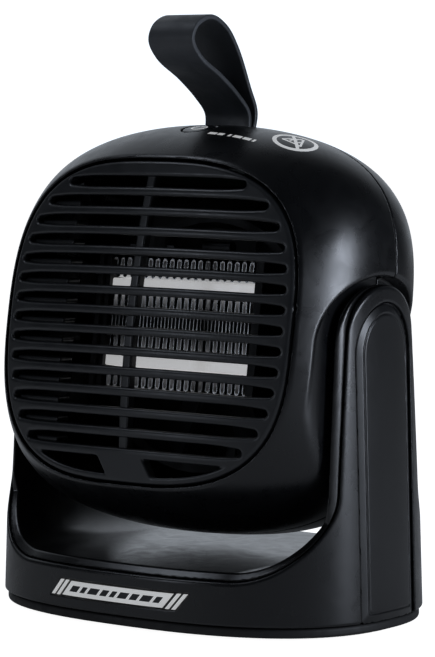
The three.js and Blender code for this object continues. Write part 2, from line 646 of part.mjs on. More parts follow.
// The dome is nearly flat at the symbol, so its ring is a disc laid on the local slope.
function symbolFrame() {
  const frame = new THREE.Matrix4().makeTranslation(SYMBOL.x, SYMBOL.y, domeHeight(SYMBOL.x, SYMBOL.y));
  const rise = 0.5;
  const slopeX = (domeHeight(SYMBOL.x + rise, SYMBOL.y) - domeHeight(SYMBOL.x - rise, SYMBOL.y)) / (2 * rise);
  const slopeY = (domeHeight(SYMBOL.x, SYMBOL.y + rise) - domeHeight(SYMBOL.x, SYMBOL.y - rise)) / (2 * rise);
  const up = new THREE.Vector3(-slopeX, -slopeY, 1).normalize();
  const turn = new THREE.Quaternion().setFromUnitVectors(new THREE.Vector3(0, 0, 1), up);
  return frame.multiply(new THREE.Matrix4().makeRotationFromQuaternion(turn));
}

// Height of the head's skin over a point ahead of the widest section.
function domeHeight(x, y) {
  let low = 0;
  let high = HEAD.up;
  for (let i = 0; i < 40; i++) {
    const z = (low + high) / 2;
    if (insideFront(x, y, z)) low = z;
    else high = z;
  }
  return low;
}

function insideFront(x, y, z) {
  const angle = Math.atan2(z, Math.abs(x));
  const wide = ovalRadius(angle, HEAD.halfWidth, HEAD.up, HEAD.expX, HEAD.expZ);
  const rim = ovalRadius(angle, GRILLE.halfWidth + RIM, GRILLE.halfHeight + RIM, GRILLE.exponent);
  const rimX = rim * Math.cos(angle);
  const rimZ = rim * Math.sin(angle) + GRILLE.z;
  const share = Math.min(1, y / faceY(rimX, rimZ)) ** HEAD.frontPower;
  return Math.hypot(x, z) < wide + (Math.hypot(rimX, rimZ) - wide) * share;
}

function symbolSeat() {
  const seat = rodZ(SYMBOL.radius + GAP, -SYMBOL.thickness, PAST, 0, 0, 32);
  return solid(seat.applyMatrix4(symbolFrame()));
}

// Ring with a slanting bar across it.
function warningSymbol() {
  const disc = solid(rodZ(SYMBOL.radius, GAP - SYMBOL.thickness, 0.1, 0, 0, 32));
  return geometryOf(disc).applyMatrix4(symbolFrame());
}

// Leather loop: one band bent back on itself, both tails going into the slot in the dome.
function strap() {
  const places = STRAP_LINE.map(([y, z]) => new THREE.Vector3(y, z, 0));
  const curve = new THREE.CatmullRomCurve3(places, false, 'centripetal');
  const points = curve.getPoints(32);
  const half = STRAP.thickness / 2;
  const offset = (side) => points.map((p, i) => {
    const before = points[Math.max(0, i - 1)];
    const after = points[Math.min(points.length - 1, i + 1)];
    const along = after.clone().sub(before).normalize();
    return new THREE.Vector2(p.x - along.y * half * side, p.y + along.x * half * side);
  });
  const outline = new THREE.Shape([...offset(1), ...offset(-1).reverse()]);
  return prismX(outline, -STRAP.halfWidth, STRAP.halfWidth);
}

// Clip inside the dome that holds the strap's tails.
function strapAnchor() {
  const { halfWidth, halfDepth, bottom, top } = ANCHOR;
  return box(-halfWidth, halfWidth, -halfDepth, halfDepth, bottom, top);
}

function shellScrew([x, z]) {
  const head = solid(rodY(SCREW.head, SCREW.seat, SCREW.seat + SCREW.headHeight, x, z, 14));
  const shank = solid(rodY(SCREW.shank, SCREW.tip, SCREW.seat + 1, x, z, 10));
  return geometryOf(head.add(shank));
}

// ---- Assembly ----

function piece(name, geometry, surface) {
  const mesh = new THREE.Mesh(geometry, surface);
  mesh.name = name;
  return mesh;
}

function standGroup() {
  const group = new THREE.Group();
  group.add(
    piece('stand_shell', standShell(), shellBlack),
    piece('cradle', cradle(), shellBlack),
    piece('base_plate', basePlate(), innerBlack),
    piece('badge', badge(), white),
    piece('cord_gland', cordGland(), rubber),
    piece('tip_switch', tipSwitch(), nylon),
  );
  for (const [side, label] of [[-1, 'left'], [1, 'right']]) {
    group.add(
      piece(`side_cover_${label}`, sideCover(side), shellBlack),
      piece(`pivot_pin_${label}`, pivotPin(side), steel),
      piece(`friction_washer_${label}`, frictionWasher(side), nylon),
    );
  }
  corners(FOOT.x, FOOT.y).forEach(([x, y], i) => {
    const foot = rodZ(FOOT.radius, 0, PLATE.bottom + FOOT.recess, x, y, 16);
    group.add(piece(`foot_${i + 1}`, foot, rubber));
  });
  corners(BASE_SCREW.x, BASE_SCREW.y).forEach(([x, y], i) => {
    group.add(piece(`base_screw_${i + 1}`, screwZ(x, y), steel));
  });
  return group;
}

function elementGroup() {
  const group = new THREE.Group();
  group.add(
    piece('air_duct', airDuct(), innerBlack),
    piece('element_end_left', elementEnd(-1), innerBlack),
    piece('element_end_right', elementEnd(1), innerBlack),
    piece('thermal_cutout', thermalCutout(), aluminium),
    piece('thermal_fuse', thermalFuse(), white),
  );
  const made = { fin: 0, bar: 0 };
  for (const { kind, base } of layerHeights()) {
    made[kind] += 1;
    const [label, make] = kind === 'fin' ? ['fin_pack', finPack] : ['ceramic_bar', ceramicBar];
    group.add(piece(`${label}_${made[kind]}`, make(base), aluminium));
  }
  return group;
}

function headGroup() {
  const group = new THREE.Group();
  group.add(
    piece('front_shell', frontShell(), shellBlack),
    piece('rear_shell', rearShell(), shellBlack),
    piece('front_grille', frontGrille(), grilleBlack),
    elementGroup(),
    piece('fan_shroud', fanShroud(), innerBlack),
    piece('fan_motor', fanMotor(), steel),
    piece('dust_filter', dustFilter(), innerBlack),
    piece('impeller', impeller(), grilleBlack),
    piece('fan_shaft', fanShaft(), steel),
    piece('control_board', controlBoard(), boardGreen),
    piece('button_switch', buttonSwitch(), innerBlack),
    piece('power_button', powerButton(), shellBlack),
    piece('warning_symbol', warningSymbol(), white),
    piece('strap', strap(), leather),
    piece('strap_anchor', strapAnchor(), steel),
  );
  SHELL_SCREWS.forEach((place, i) => group.add(piece(`shell_screw_${i + 1}`, shellScrew(place), steel)));
  group.position.z = PIVOT_Z;
  group.rotation.x = -TILT;
  return group;
}

const heater = new THREE.Group();
heater.add(standGroup(), headGroup());

export default heater;
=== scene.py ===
"""Looks of the ceramic space heater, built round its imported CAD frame.

Shapes are worked out in millimetres as fields (negative inside), meshed, and scaled to metres.
The head is drawn upright about its tilt axis and then leaned back with the CAD head.
"""

import json
import math

import bpy
import numpy as np
import openvdb
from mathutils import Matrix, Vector


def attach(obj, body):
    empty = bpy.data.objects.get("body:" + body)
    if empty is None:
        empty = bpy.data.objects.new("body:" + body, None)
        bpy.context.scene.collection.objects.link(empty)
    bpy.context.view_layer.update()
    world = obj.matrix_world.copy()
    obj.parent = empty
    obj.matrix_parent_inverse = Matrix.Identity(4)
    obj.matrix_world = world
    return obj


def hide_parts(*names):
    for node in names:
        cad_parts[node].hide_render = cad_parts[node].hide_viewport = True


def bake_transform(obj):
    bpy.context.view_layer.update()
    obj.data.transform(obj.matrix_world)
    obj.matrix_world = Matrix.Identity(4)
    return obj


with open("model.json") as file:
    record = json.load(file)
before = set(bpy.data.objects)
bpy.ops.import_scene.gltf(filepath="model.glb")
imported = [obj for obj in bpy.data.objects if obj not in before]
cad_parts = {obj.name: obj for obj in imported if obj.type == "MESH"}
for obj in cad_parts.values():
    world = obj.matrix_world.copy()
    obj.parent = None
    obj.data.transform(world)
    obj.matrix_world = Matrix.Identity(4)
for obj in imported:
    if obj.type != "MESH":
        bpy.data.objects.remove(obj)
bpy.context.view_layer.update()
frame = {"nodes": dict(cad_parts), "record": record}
rng = np.random.default_rng(7)

MM = 0.001

# ---- Measures of the heater, in millimetres ----

PIVOT_Z = 95.9
TILT = math.radians(8.7)

# Stand: plan outline, draft, and the upright openings as (half width, floor, corner)
STAND_HALF_WIDTH = 80.0
STAND_HALF_DEPTH = 54.3
STAND_POWER = 2.49
STAND_DRAFT = 0.0293
STAND_BOTTOM = 5.0
OPENING = (73.4, 20.0, 29.0)
CRADLE_OUTSIDE = (73.1, 20.3, 28.7)
CRADLE_INSIDE = (70.6, 22.8, 27.0)
CRADLE_INSET = 1.0
CRADLE_SLOPE = 2.7
CRADLE_SLOPE_TOP = 40.0
CRADLE_SLOPE_FADE = 0.35

# Arms: arched tops as (half width, height), and how fast the arch lets go below the pivot
ARM_ARCH = (22.0, 24.1)
CRADLE_ARCH = (25.0, 24.1)
ARM_RELEASE = 0.6
ARM_FROM_X = 55.0
COVER_ARCH = (15.5, 17.5)
COVER_BOTTOM = 4.6
COVER_GROOVE = 0.7
COVER_SEAT_DEPTH = 1.7
COVER_BACK = 1.45
COVER_INSET = 0.3
COVER_BAND = 2.7
COVER_BAND_DROP = 0.85
COVER_LIP_PLACE = 0.5
COVER_LIP_WIDTH = 0.4
COVER_LIP_DROP = 0.35

# Badge; layers are (height over the skin, thickness)
BADGE_Z = 12.25
BADGE_HALF = (28.0, 2.8)
BADGE_LEAN = 2.4 / 2.8
BADGE_GAP = 0.35
BADGE_SEAT_DEPTH = 0.6
PLATE_HALF = (22.6, 2.6)
PLATE_LAYER = (0.08, 0.5)
STRIPE_STARTS = (24.0, 26.6)
STRIPE_WIDTH = 1.4
DASH_LEFT = -20.4
DASH_WIDTHS = (3.6, 2.2, 4.4, 3.0, 2.2, 4.0, 3.2, 4.4, 2.6)
DASH_HALF_HEIGHT = 1.1
DASH_SPACE = 1.35
DASH_LAYER = (0.1, 0.1)

BASE_PLATE_Z = 2.95
BASE_PLATE_HALF = 1.75
BASE_PLATE_INSET = 1.2
FOOT_PLACES = [(50, -30), (-50, -30), (50, 30), (-50, 30)]
FOOT_SEAT_RADIUS = 7.3
FOOT_SEAT_TOP = 2.3
FOOT_PROFILE = [(0.01, 0), (5.6, 0), (6.4, 0.15), (6.9, 0.6), (7, 1.1), (7, 1.9), (0.01, 1.9)]

BUSH_Z = 12.5
BUSH_HOLE = 6.3
BUSH_FROM_Y = 52.0
BUSH_PROFILE = [
    (2.8, -9), (4, -9), (4, -1.6), (5.9, -1.6), (6, -1.3), (6, -0.7), (5.6, -0.3),
    (4.4, -0.25), (4.2, -0.6), (3.9, -0.6), (3.7, -0.25), (3.1, -0.25), (2.8, -0.6),
]

# Head: widest outline at the seam, shrinking forward to the grille rim and backward to the rear
HEAD_HALF_WIDTH = 76.4
HEAD_UP = 78.4
HEAD_DOWN = 67.4
HEAD_POWERS = (2.12, 4.47)
FRONT_POWER = 2.18
FRONT_REACH = 1.15
REAR_DEPTH = 46.0
REAR_POWER = 2.4
REAR_FULLER = 1.4
SEAM_Y = 2.3
SEAM_HALF_GAP = 0.17
WALL = 2.2
DOME_FROM_Z = 50.0
POCKET_ARCH = (30.5, 27.0)
POCKET_FLOOR = 68.2
SHELL_SCREWS = [(61, 54), (-61, 54), (59.5, -50), (-59.5, -50)]
SCREW_POST = 5.0
SCREW_BORE = 3.3
SCREW_BORE_FROM_Y = 8.7
INTAKE_COUNT = 9
INTAKE_PITCH = 8.0
INTAKE_REACH = 36.0
INTAKE_ROUNDNESS = 0.55
INTAKE_HALF_SLOT = 1.7
INTAKE_Z = 2.0
INTAKE_FROM_Y = 22.0

# Grille: outline, bulging face, slots, rib, and the block in the lowest row
GRILLE_HALF = (63.1, 56.4)
GRILLE_Z = 4.35
GRILLE_POWER = 3.03
GRILLE_GAP = 0.15
FACE_Y = -47.16
FACE_BULGE = (1 / 444, 1 / 670)
FACE_TO_RIM = 9.5
RIM = 1.4
RIM_SETBACK = 0.25
MOUTH_MARGIN = 0.75
MOUTH_DEPTH_Y = -20.0
BAR_DEPTH = 4.4
SLOT_PITCH = 7.03
SLOT_TOP = 53.12
SLOT_HALF = 1.95
SLOT_END_SHARE = 0.7
SLOT_COUNT = 14
SLOT_MARGIN = 2.6
SLOT_SLOPE = 0.12
SLOT_NARROWING = 0.75
SLOT_NARROW_FROM = 15.0
SLOT_NARROW_LENGTH = 14.0
FIN_DROP = 1.15
FIN_HALF = 0.95
FIN_DEPTH = (6.2, 3.4)
FIN_RIGHT_END = -34.0
FIN_MARGIN = -4.5
BLOCK_HALF = 10.2
BLOCK_LEAN = 0.625
RIB_X = -0.8
RIB_HALF = 1.9
RIB_DEPTH = (3.4, 1.8)
RIB_Z = (4.0, 54.0)

# Heating element, from the top layer down
ELEMENT_HALF_WIDTH = 32.3
ELEMENT_FRONT = -19.0
ELEMENT_BACK = -7.0
ELEMENT_TOP = 28.35
ELEMENT_LAYERS = ("fin", "bar", "fin", "fin", "fin", "bar", "fin")
LAYER_HEIGHT = {"fin": 7.3, "bar": 4.2}
LAYER_GAP = 0.3
FIN_LOOPS = 20
FOIL = 0.34
FOIL_JITTER = 0.09

# Button, prints and strap
BUTTON = (0.6, -18.6)
BUTTON_RADIUS = 6.0
BUTTON_CLEARANCE = 0.35
BUTTON_SLACK = 0.05
BUTTON_SINK = 0.12
BUTTON_FROM_Z = 70.0
BUTTON_MARK_RADIUS = 2.7
BUTTON_MARK_TURN = (2.2, 7.2)
BUTTON_STROKE = (1.2, 3.6)
BUTTON_LINE = 0.27
SIGN = (40.3, -14.5)
SIGN_RING_RADIUS = 7.4
SIGN_RING_LINE = 0.75
SIGN_BAR_RADIUS = 6.7
SIGN_BAR_LINE = 0.6
SIGN_TIP_RADIUS = 4.7
SIGN_SIDE_LINE = 0.38
SIGN_TICK_X = (-1.5, 1.5)
SIGN_TICK_Y = (-1.4, 1.0)
SIGN_TICK_LINE = 0.3
DOME_DASHES = ((10.1, 3.4), (14.3, 2.4), (18.9, 1.0), (21.1, 3.6), (25.5, 3.2), (29.7, 1.0))
DOME_DASH_Y = -25.0
DOME_DASH_LINE = 0.85
PRINT_LIFT = 0.06
BUTTON_PRINT_LIFT = -0.02
PRINT_DEPTH = 0.1
STRAP_HALF_WIDTH = 10.0
STRAP_THICKNESS = 1.8
STRAP_EDGE = 0.55
STRAP_SLOT_HALF = (10.6, 2.7)
STRAP_LINE = [
    (1.15, 75.7), (1.7, 84), (-3.5, 92), (-12.5, 104.5), (-20, 111), (-29, 113.2), (-36.6, 109),
    (-38.2, 103.6), (-33, 98.4), (-20, 93.4), (-9, 88), (-2.4, 83), (-1.15, 75.7),
]

# Radii of the rounded edges
ROUND = {
    "arm": 1.6,
    "opening": 1.5,
    "stand_bottom": 1.0,
    "cover_foot": 1.5,
    "cover_seat": 0.7,
    "badge_seat": 0.3,
    "bush_hole": 0.5,
    "trough": 1.8,
    "trough_slope": 0.6,
    "cradle_back": 0.5,
    "cover": 0.5,
    "base_plate": 1.4,
    "head_rim": 1.3,
    "pocket": 1.9,
    "pocket_floor": 1.0,
    "mouth": 0.6,
    "seam": 0.5,
    "head_hole": 0.8,
    "intake": 0.9,
    "strap_slot": 1.0,
    "grille_front": 1.6,
    "grille_back": 1.0,
    "slot": 1.5,
    "fin": 0.8,
    "low_slot_top": 1.5,
    "low_slot_side": 1.2,
    "low_slot": 1.1,
    "rib": 0.8,
    "button": 0.7,
    "button_bottom": 0.5,
    "ceramic": 0.5,
}

# ---- Fields: negative inside, about a millimetre per millimetre near the surface ----

OUTSIDE = 1e3
LEAST_RATIO = 1e-4
LEAST_SLOPE = 1e-3
HALVINGS = 40


def smooth_max(a, b, radius):
    """Where both apply, with the edge between them rounded."""
    near = np.maximum(radius - np.abs(a - b), 0)
    return np.maximum(a, b) + near * near / (4 * radius)


def oval_field(u, v, half_u, half_v, power):
    """Superellipse outline."""
    ratio_u = np.maximum(np.abs(u) / half_u, LEAST_RATIO)
    ratio_v = np.maximum(np.abs(v) / half_v, LEAST_RATIO)
    part_u = ratio_u**power
    part_v = ratio_v**power
    level = (part_u + part_v) ** (1 / power)
    slope = np.hypot(part_u / ratio_u / half_u, part_v / ratio_v / half_v)
    slope = slope * level / (part_u + part_v)
    return (level - 1) / np.maximum(slope, LEAST_SLOPE)


def column_field(x, y, z, inset=0.0):
    """The stand's drafted column."""
    half_x = STAND_HALF_WIDTH - STAND_DRAFT * z - inset
    half_y = STAND_HALF_DEPTH - STAND_DRAFT * z - inset
    return oval_field(x, y, half_x, half_y, STAND_POWER)


def rounded_u_field(x, z, half_width, floor, corner):
    """Opening with two upright sides and a floor with round corners."""
    side = np.abs(x) - (half_width - corner)
    down = floor + corner - z
    outside = np.hypot(np.maximum(side, 0), np.maximum(down, 0))
    return np.minimum(np.maximum(side, down), 0) + outside - corner


def arch_field(y, z, half_width, height, spring):
    """Upright legs with half an ellipse on top, from the spring line up."""
    rise = np.maximum(z - spring, 0)
    level = np.maximum(np.hypot(y / half_width, rise / height), LEAST_RATIO)
    slope = np.hypot(y / half_width**2, rise / height**2) / level
    return (level - 1) / np.maximum(slope, LEAST_SLOPE)


def arm_field(y, z, half_width, height):
    """Keeps the arms within their arched tops and leaves everything below the pivot."""
    return arch_field(y, z, half_width, height, PIVOT_Z) - ARM_RELEASE * np.maximum(PIVOT_Z - z, 0)


def cover_outline(y, z, margin):
    """Arched outline of the panel on an arm, grown by a margin."""
    arch = arch_field(y, z, COVER_ARCH[0] + margin, COVER_ARCH[1] + margin, PIVOT_Z)
    return smooth_max(arch, COVER_BOTTOM - margin - z, ROUND["cover_foot"])


def box_field(values, half_sizes, radius):
    """Block about the origin with round edges."""
    beyond = [np.abs(v) - (h - radius) for v, h in zip(values, half_sizes)]
    outside = np.sqrt(sum(np.maximum(b, 0) ** 2 for b in beyond))
    inside = np.minimum(np.maximum.reduce(np.broadcast_arrays(*beyond)), 0)
    return outside + inside - radius


def badge_outline(x, z, margin):
    """Slanting badge on the front of the base."""
    up = z - BADGE_Z
    across = x - up * BADGE_LEAN
    return np.maximum(np.abs(across) - BADGE_HALF[0], np.abs(up) - BADGE_HALF[1]) - margin


def stand_shell_field(x, y, z):
    """Base and arms in one, with seats for the covers, the badge and the cord bush."""
    skin = column_field(x, y, z)
    body = smooth_max(skin, arm_field(y, z, *ARM_ARCH), ROUND["arm"])
    body = smooth_max(body, -rounded_u_field(x, z, *OPENING), ROUND["opening"])
    body = smooth_max(body, STAND_BOTTOM - z, ROUND["stand_bottom"])
    cover_seat = np.maximum(cover_outline(y, z, COVER_GROOVE), ARM_FROM_X - np.abs(x))
    cover_seat = np.maximum(cover_seat, -(skin + COVER_SEAT_DEPTH))
    body = smooth_max(body, -cover_seat, ROUND["cover_seat"])
    badge_seat = np.maximum(badge_outline(x, z, BADGE_GAP), y)
    badge_seat = np.maximum(badge_seat, -(skin + BADGE_SEAT_DEPTH))
    body = smooth_max(body, -badge_seat, ROUND["badge_seat"])
    bush_hole = np.maximum(np.hypot(x, z - BUSH_Z) - BUSH_HOLE, BUSH_FROM_Y - y)
    return smooth_max(body, -bush_hole, ROUND["bush_hole"])


def cradle_field(x, y, z):
    """Trough between the arms, with a sloping edge that narrows up the arms."""
    skin = column_field(x, y, z, CRADLE_INSET)
    trough = -rounded_u_field(x, z, *CRADLE_INSIDE)
    body = smooth_max(skin, arm_field(y, z, *CRADLE_ARCH), ROUND["arm"])
    body = smooth_max(body, trough, ROUND["trough"])
    fade = CRADLE_SLOPE_FADE * np.maximum(z - CRADLE_SLOPE_TOP, 0)
    slope = (skin + trough + CRADLE_SLOPE - fade) / math.sqrt(2)
    body = smooth_max(body, slope, ROUND["trough_slope"])
    return smooth_max(body, rounded_u_field(x, z, *CRADLE_OUTSIDE), ROUND["cradle_back"])


def cover_field(x, y, z):
    """Panel on the outside of an arm: a sloping band round a flat middle."""
    outline = cover_outline(y, z, 0)
    band = np.clip(1 + outline / COVER_BAND, 0, 1)
    lip = np.exp(-(((outline + COVER_BAND + COVER_LIP_PLACE) / COVER_LIP_WIDTH) ** 2))
    surface = column_field(x, y, z, COVER_INSET) + COVER_BAND_DROP * band + COVER_LIP_DROP * lip
    plate = smooth_max(surface, outline, ROUND["cover"])
    return np.maximum(plate, -(column_field(x, y, z) + COVER_BACK))


def base_plate_field(x, y, z):
    """Plate under the stand, with a seat for each foot."""
    skin = column_field(x, y, z, BASE_PLATE_INSET)
    body = smooth_max(skin, np.abs(z - BASE_PLATE_Z) - BASE_PLATE_HALF, ROUND["base_plate"])
    for foot_x, foot_y in FOOT_PLACES:
        seat = np.maximum(np.hypot(x - foot_x, y - foot_y) - FOOT_SEAT_RADIUS, z - FOOT_SEAT_TOP)
        body = np.maximum(body, -seat)
    return body


# Head outlines as radius against angle about the head's middle
ANGLES = np.linspace(-math.pi, math.pi, 1441)
SMALL_TURN = 0.01


def oval_radii(half_width, up, down, power_x, power_z):
    """Radius of a superellipse at each of ANGLES, by bisection."""
    cos = np.abs(np.cos(ANGLES))
    sin = np.abs(np.sin(ANGLES))
    height = np.where(np.sin(ANGLES) > 0, up, down)
    low = np.zeros_like(ANGLES)
    high = np.full_like(ANGLES, half_width + up)
    for _ in range(HALVINGS):
        middle = (low + high) / 2
        inside = (middle * cos / half_width) ** power_x + (middle * sin / height) ** power_z < 1
        low = np.where(inside, middle, low)
        high = np.where(inside, high, middle)
    return (low + high) / 2


WIDE = oval_radii(HEAD_HALF_WIDTH, HEAD_UP, HEAD_DOWN, *HEAD_POWERS)
RIM_HALF_WIDTH = GRILLE_HALF[0] + RIM
RIM_HALF_HEIGHT = GRILLE_HALF[1] + RIM
GRILLE_RIM = oval_radii(RIM_HALF_WIDTH, RIM_HALF_HEIGHT, RIM_HALF_HEIGHT, GRILLE_POWER, GRILLE_POWER)


def face_y(x, z):
    """Bulging front face of the head."""
    return FACE_Y + x * x * FACE_BULGE[0] + z * z * FACE_BULGE[1]


RIM_Y = face_y(GRILLE_RIM * np.cos(ANGLES), GRILLE_Z + GRILLE_RIM * np.sin(ANGLES))


def outline_skew(angle, wide):
    """How far the head's outline leans from a circle at an angle."""
    turned = np.interp(angle + SMALL_TURN, ANGLES, WIDE) - np.interp(angle - SMALL_TURN, ANGLES, WIDE)
    return turned / (2 * SMALL_TURN) / wide


def front_field(x, y, z):
    """Outside of the head ahead of its seam: outlines that shrink towards the grille rim."""
    forward = np.clip(y / (FACE_Y + FACE_TO_RIM), 0, FRONT_REACH)
    for _ in range(2):
        share = forward**FRONT_POWER
        angle = np.arctan2(z - GRILLE_Z * share, x)
        rim_y = np.interp(angle, ANGLES, RIM_Y)
        forward = np.clip(y / rim_y, 0, FRONT_REACH)
    share = forward**FRONT_POWER
    up = z - GRILLE_Z * share
    angle = np.arctan2(up, x)
    wide = np.interp(angle, ANGLES, WIDE)
    rim = np.interp(angle, ANGLES, GRILLE_RIM)
    reach = wide + (rim - wide) * share
    lean = (rim - wide) * FRONT_POWER * forward ** (FRONT_POWER - 1) / rim_y
    skew = outline_skew(angle, wide)
    return (np.hypot(x, up) - reach) / np.sqrt(1 + lean * lean + skew * skew)


def rear_field(x, y, z):
    """Outside of the head behind its seam, fuller towards the bottom."""
    angle = np.arctan2(z, x)
    wide = np.interp(angle, ANGLES, WIDE)
    skew = np.sqrt(1 + outline_skew(angle, wide) ** 2)
    depth = np.maximum(y, 0) / REAR_DEPTH
    across = np.maximum(np.hypot(x, z) / wide, LEAST_RATIO)
    power = REAR_POWER + REAR_FULLER * np.maximum(0, -np.sin(angle)) ** 2
    level = np.maximum((depth**power + across**power) ** (1 / power), LEAST_RATIO)
    slope_y = (np.maximum(depth, 1e-6) / level) ** (power - 1) / REAR_DEPTH
    slope_r = (across / level) ** (power - 1) / wide * skew
    return (level - 1) / np.maximum(np.hypot(slope_y, slope_r), LEAST_SLOPE)


def rim_field(x, z, margin):
    """Outline of the grille, grown by a margin."""
    return oval_field(x, z - GRILLE_Z, *GRILLE_HALF, GRILLE_POWER) - margin


def pocket_field(x, y, z, margin):
    """Recesses in the sides of the head that clear the arms."""
    outline = arch_field(y, z, POCKET_ARCH[0] + margin, POCKET_ARCH[1] + margin, 0)
    return smooth_max(outline, POCKET_FLOOR - margin - np.abs(x), ROUND["pocket_floor"])


def strap_slot_field(x, y, z):
    """Slot in the dome that the strap comes out of."""
    slot = box_field((x, y), STRAP_SLOT_HALF, ROUND["strap_slot"])
    return np.maximum(slot, DOME_FROM_Z - z)


def hollow_field(outside, x, y, z):
    """Room inside the walls of the head."""
    return np.maximum(outside + WALL, -pocket_field(x, y, z, WALL))


def front_shell_field(x, y, z):
    """Front half of the head, open for the grille, the button and the strap."""
    outside = front_field(x, y, z)
    body = smooth_max(outside, face_y(x, z) - y - RIM_SETBACK, ROUND["head_rim"])
    body = smooth_max(body, -pocket_field(x, y, z, 0), ROUND["pocket"])
    mouth = np.maximum(rim_field(x, z, MOUTH_MARGIN), y - MOUTH_DEPTH_Y)
    body = smooth_max(body, -np.minimum(hollow_field(outside, x, y, z), mouth), ROUND["mouth"])
    body = smooth_max(body, y - (SEAM_Y - SEAM_HALF_GAP), ROUND["seam"])
    away = np.hypot(x - BUTTON[0], y - BUTTON[1])
    hole = np.maximum(away - BUTTON_RADIUS - BUTTON_CLEARANCE, DOME_FROM_Z - z)
    body = smooth_max(body, -hole, ROUND["head_hole"])
    return smooth_max(body, -strap_slot_field(x, y, z), ROUND["head_hole"])


def intake_field(x, y, z):
    """Upright slots in the rear, longest in the middle."""
    slots = np.full(np.broadcast(x, y, z).shape, OUTSIDE)
    for i in range(INTAKE_COUNT):
        slot_x = (i - (INTAKE_COUNT - 1) / 2) * INTAKE_PITCH
        reach = math.sqrt(INTAKE_REACH**2 - INTAKE_ROUNDNESS * slot_x**2)
        past_end = np.maximum(np.abs(z - INTAKE_Z) - reach + INTAKE_HALF_SLOT, 0)
        slots = np.minimum(slots, np.hypot(x - slot_x, past_end) - INTAKE_HALF_SLOT)
    return np.maximum(slots, INTAKE_FROM_Y - y)


def rear_shell_field(x, y, z):
    """Rear half of the head, with its screw posts and air slots."""
    outside = rear_field(x, y, z)
    body = smooth_max(outside, -pocket_field(x, y, z, 0), ROUND["pocket"])
    posts = np.full(np.broadcast(x, y, z).shape, OUTSIDE)
    bores = posts
    for post_x, post_z in SHELL_SCREWS:
        away = np.hypot(x - post_x, z - post_z)
        posts = np.minimum(posts, away - SCREW_POST)
        bores = np.minimum(bores, np.maximum(away - SCREW_BORE, SCREW_BORE_FROM_Y - y))
    body = np.maximum(body, -np.maximum(hollow_field(outside, x, y, z), -posts))
    body = smooth_max(body, (SEAM_Y + SEAM_HALF_GAP) - y, ROUND["seam"])
    body = smooth_max(body, -bores, ROUND["head_hole"])
    body = smooth_max(body, -intake_field(x, y, z), ROUND["intake"])
    return smooth_max(body, -strap_slot_field(x, y, z), ROUND["head_hole"])


def grille_field(x, y, z):
    """Domed louvres: long slots with round ends, and two openings in the lowest row."""
    depth = y - face_y(x, z)
    bars = smooth_max(rim_field(x, z, -GRILLE_GAP), -depth, ROUND["grille_front"])
    bars = smooth_max(bars, depth - BAR_DEPTH, ROUND["grille_back"])

    row = np.clip(np.round((SLOT_TOP - z) / SLOT_PITCH), 0, SLOT_COUNT - 1)
    slot_z = SLOT_TOP - row * SLOT_PITCH
    edge = (np.abs(slot_z - GRILLE_Z) + SLOT_END_SHARE * SLOT_HALF) / GRILLE_HALF[1]
    reach = GRILLE_HALF[0] * (1 - edge**GRILLE_POWER) ** (1 / GRILLE_POWER) - SLOT_MARGIN
    up = z - slot_z - SLOT_SLOPE * (depth - 1.0)
    towards_end = np.clip((np.abs(x) - reach + SLOT_NARROW_FROM) / SLOT_NARROW_LENGTH, 0, 1)
    narrow = SLOT_HALF - SLOT_NARROWING * towards_end**2
    slot = np.hypot(np.maximum(np.abs(x) - reach + SLOT_HALF, 0), up) - narrow
    bars = smooth_max(bars, -slot, ROUND["slot"])

    fins = smooth_max(
        np.abs(up + FIN_DROP) - FIN_HALF, np.abs(depth - FIN_DEPTH[0]) - FIN_DEPTH[1], ROUND["fin"]
    )
    fins = smooth_max(fins, x - FIN_RIGHT_END, ROUND["fin"])
    fins = np.maximum(fins, rim_field(x, z, FIN_MARGIN))

    lowest = SLOT_TOP - SLOT_COUNT * SLOT_PITCH
    block = np.abs(x + (z - lowest) * BLOCK_LEAN) - BLOCK_HALF
    low_slot = smooth_max(z - lowest - SLOT_HALF, rim_field(x, z, -SLOT_MARGIN), ROUND["low_slot_top"])
    low_slot = smooth_max(low_slot, -block, ROUND["low_slot_side"])
    bars = smooth_max(bars, -low_slot, ROUND["low_slot"])

    rib = smooth_max(np.abs(x - RIB_X) - RIB_HALF, np.abs(depth - RIB_DEPTH[0]) - RIB_DEPTH[1], ROUND["rib"])
    rib = np.maximum(rib, np.abs(z - RIB_Z[0]) - RIB_Z[1])
    return np.minimum(np.minimum(bars, fins), rib)


def button_field(x, y, z):
    """Cap whose top follows the dome."""
    side = np.hypot(x - BUTTON[0], y - BUTTON[1]) - BUTTON_RADIUS + BUTTON_SLACK
    body = smooth_max(side, front_field(x, y, z) + BUTTON_SINK, ROUND["button"])
    return smooth_max(body, BUTTON_FROM_Z - z, ROUND["button_bottom"])


# ---- Meshes ----

BLOCK = 8
BLOCKS_AT_ONCE = 1500


def turn_back(directions):
    """Directions of the head frame in the upright frame of the heater."""
    x, y, z = directions.T
    cos = math.cos(TILT)
    sin = math.sin(TILT)
    return np.stack([x, y * cos + z * sin, z * cos - y * sin], axis=1)


def lean_back(points):
    """Points of the head frame in the upright frame of the heater."""
    return turn_back(points) + np.array([0, 0, PIVOT_Z])


def add_object(name, mesh, material):
    """Object of a mesh and its one material."""
    piece = bpy.data.objects.new(name, mesh)
    bpy.context.scene.collection.objects.link(piece)
    mesh.materials.clear()
    mesh.materials.append(material)
    return piece


def mesh_of(name, points, faces, head=False, normals=None):
    """Mesh from millimetre points; on the head they are leaned back."""
    placed = lean_back(points) if head else points
    mesh = bpy.data.meshes.new(name)
    mesh.from_pydata((placed * MM).tolist(), [], [tuple(f) for f in faces])
    mesh.validate()
    mesh.shade_smooth()
    if normals is not None:
        turned = turn_back(normals) if head else normals
        mesh.normals_split_custom_set_from_vertices(turned.tolist())
    return mesh


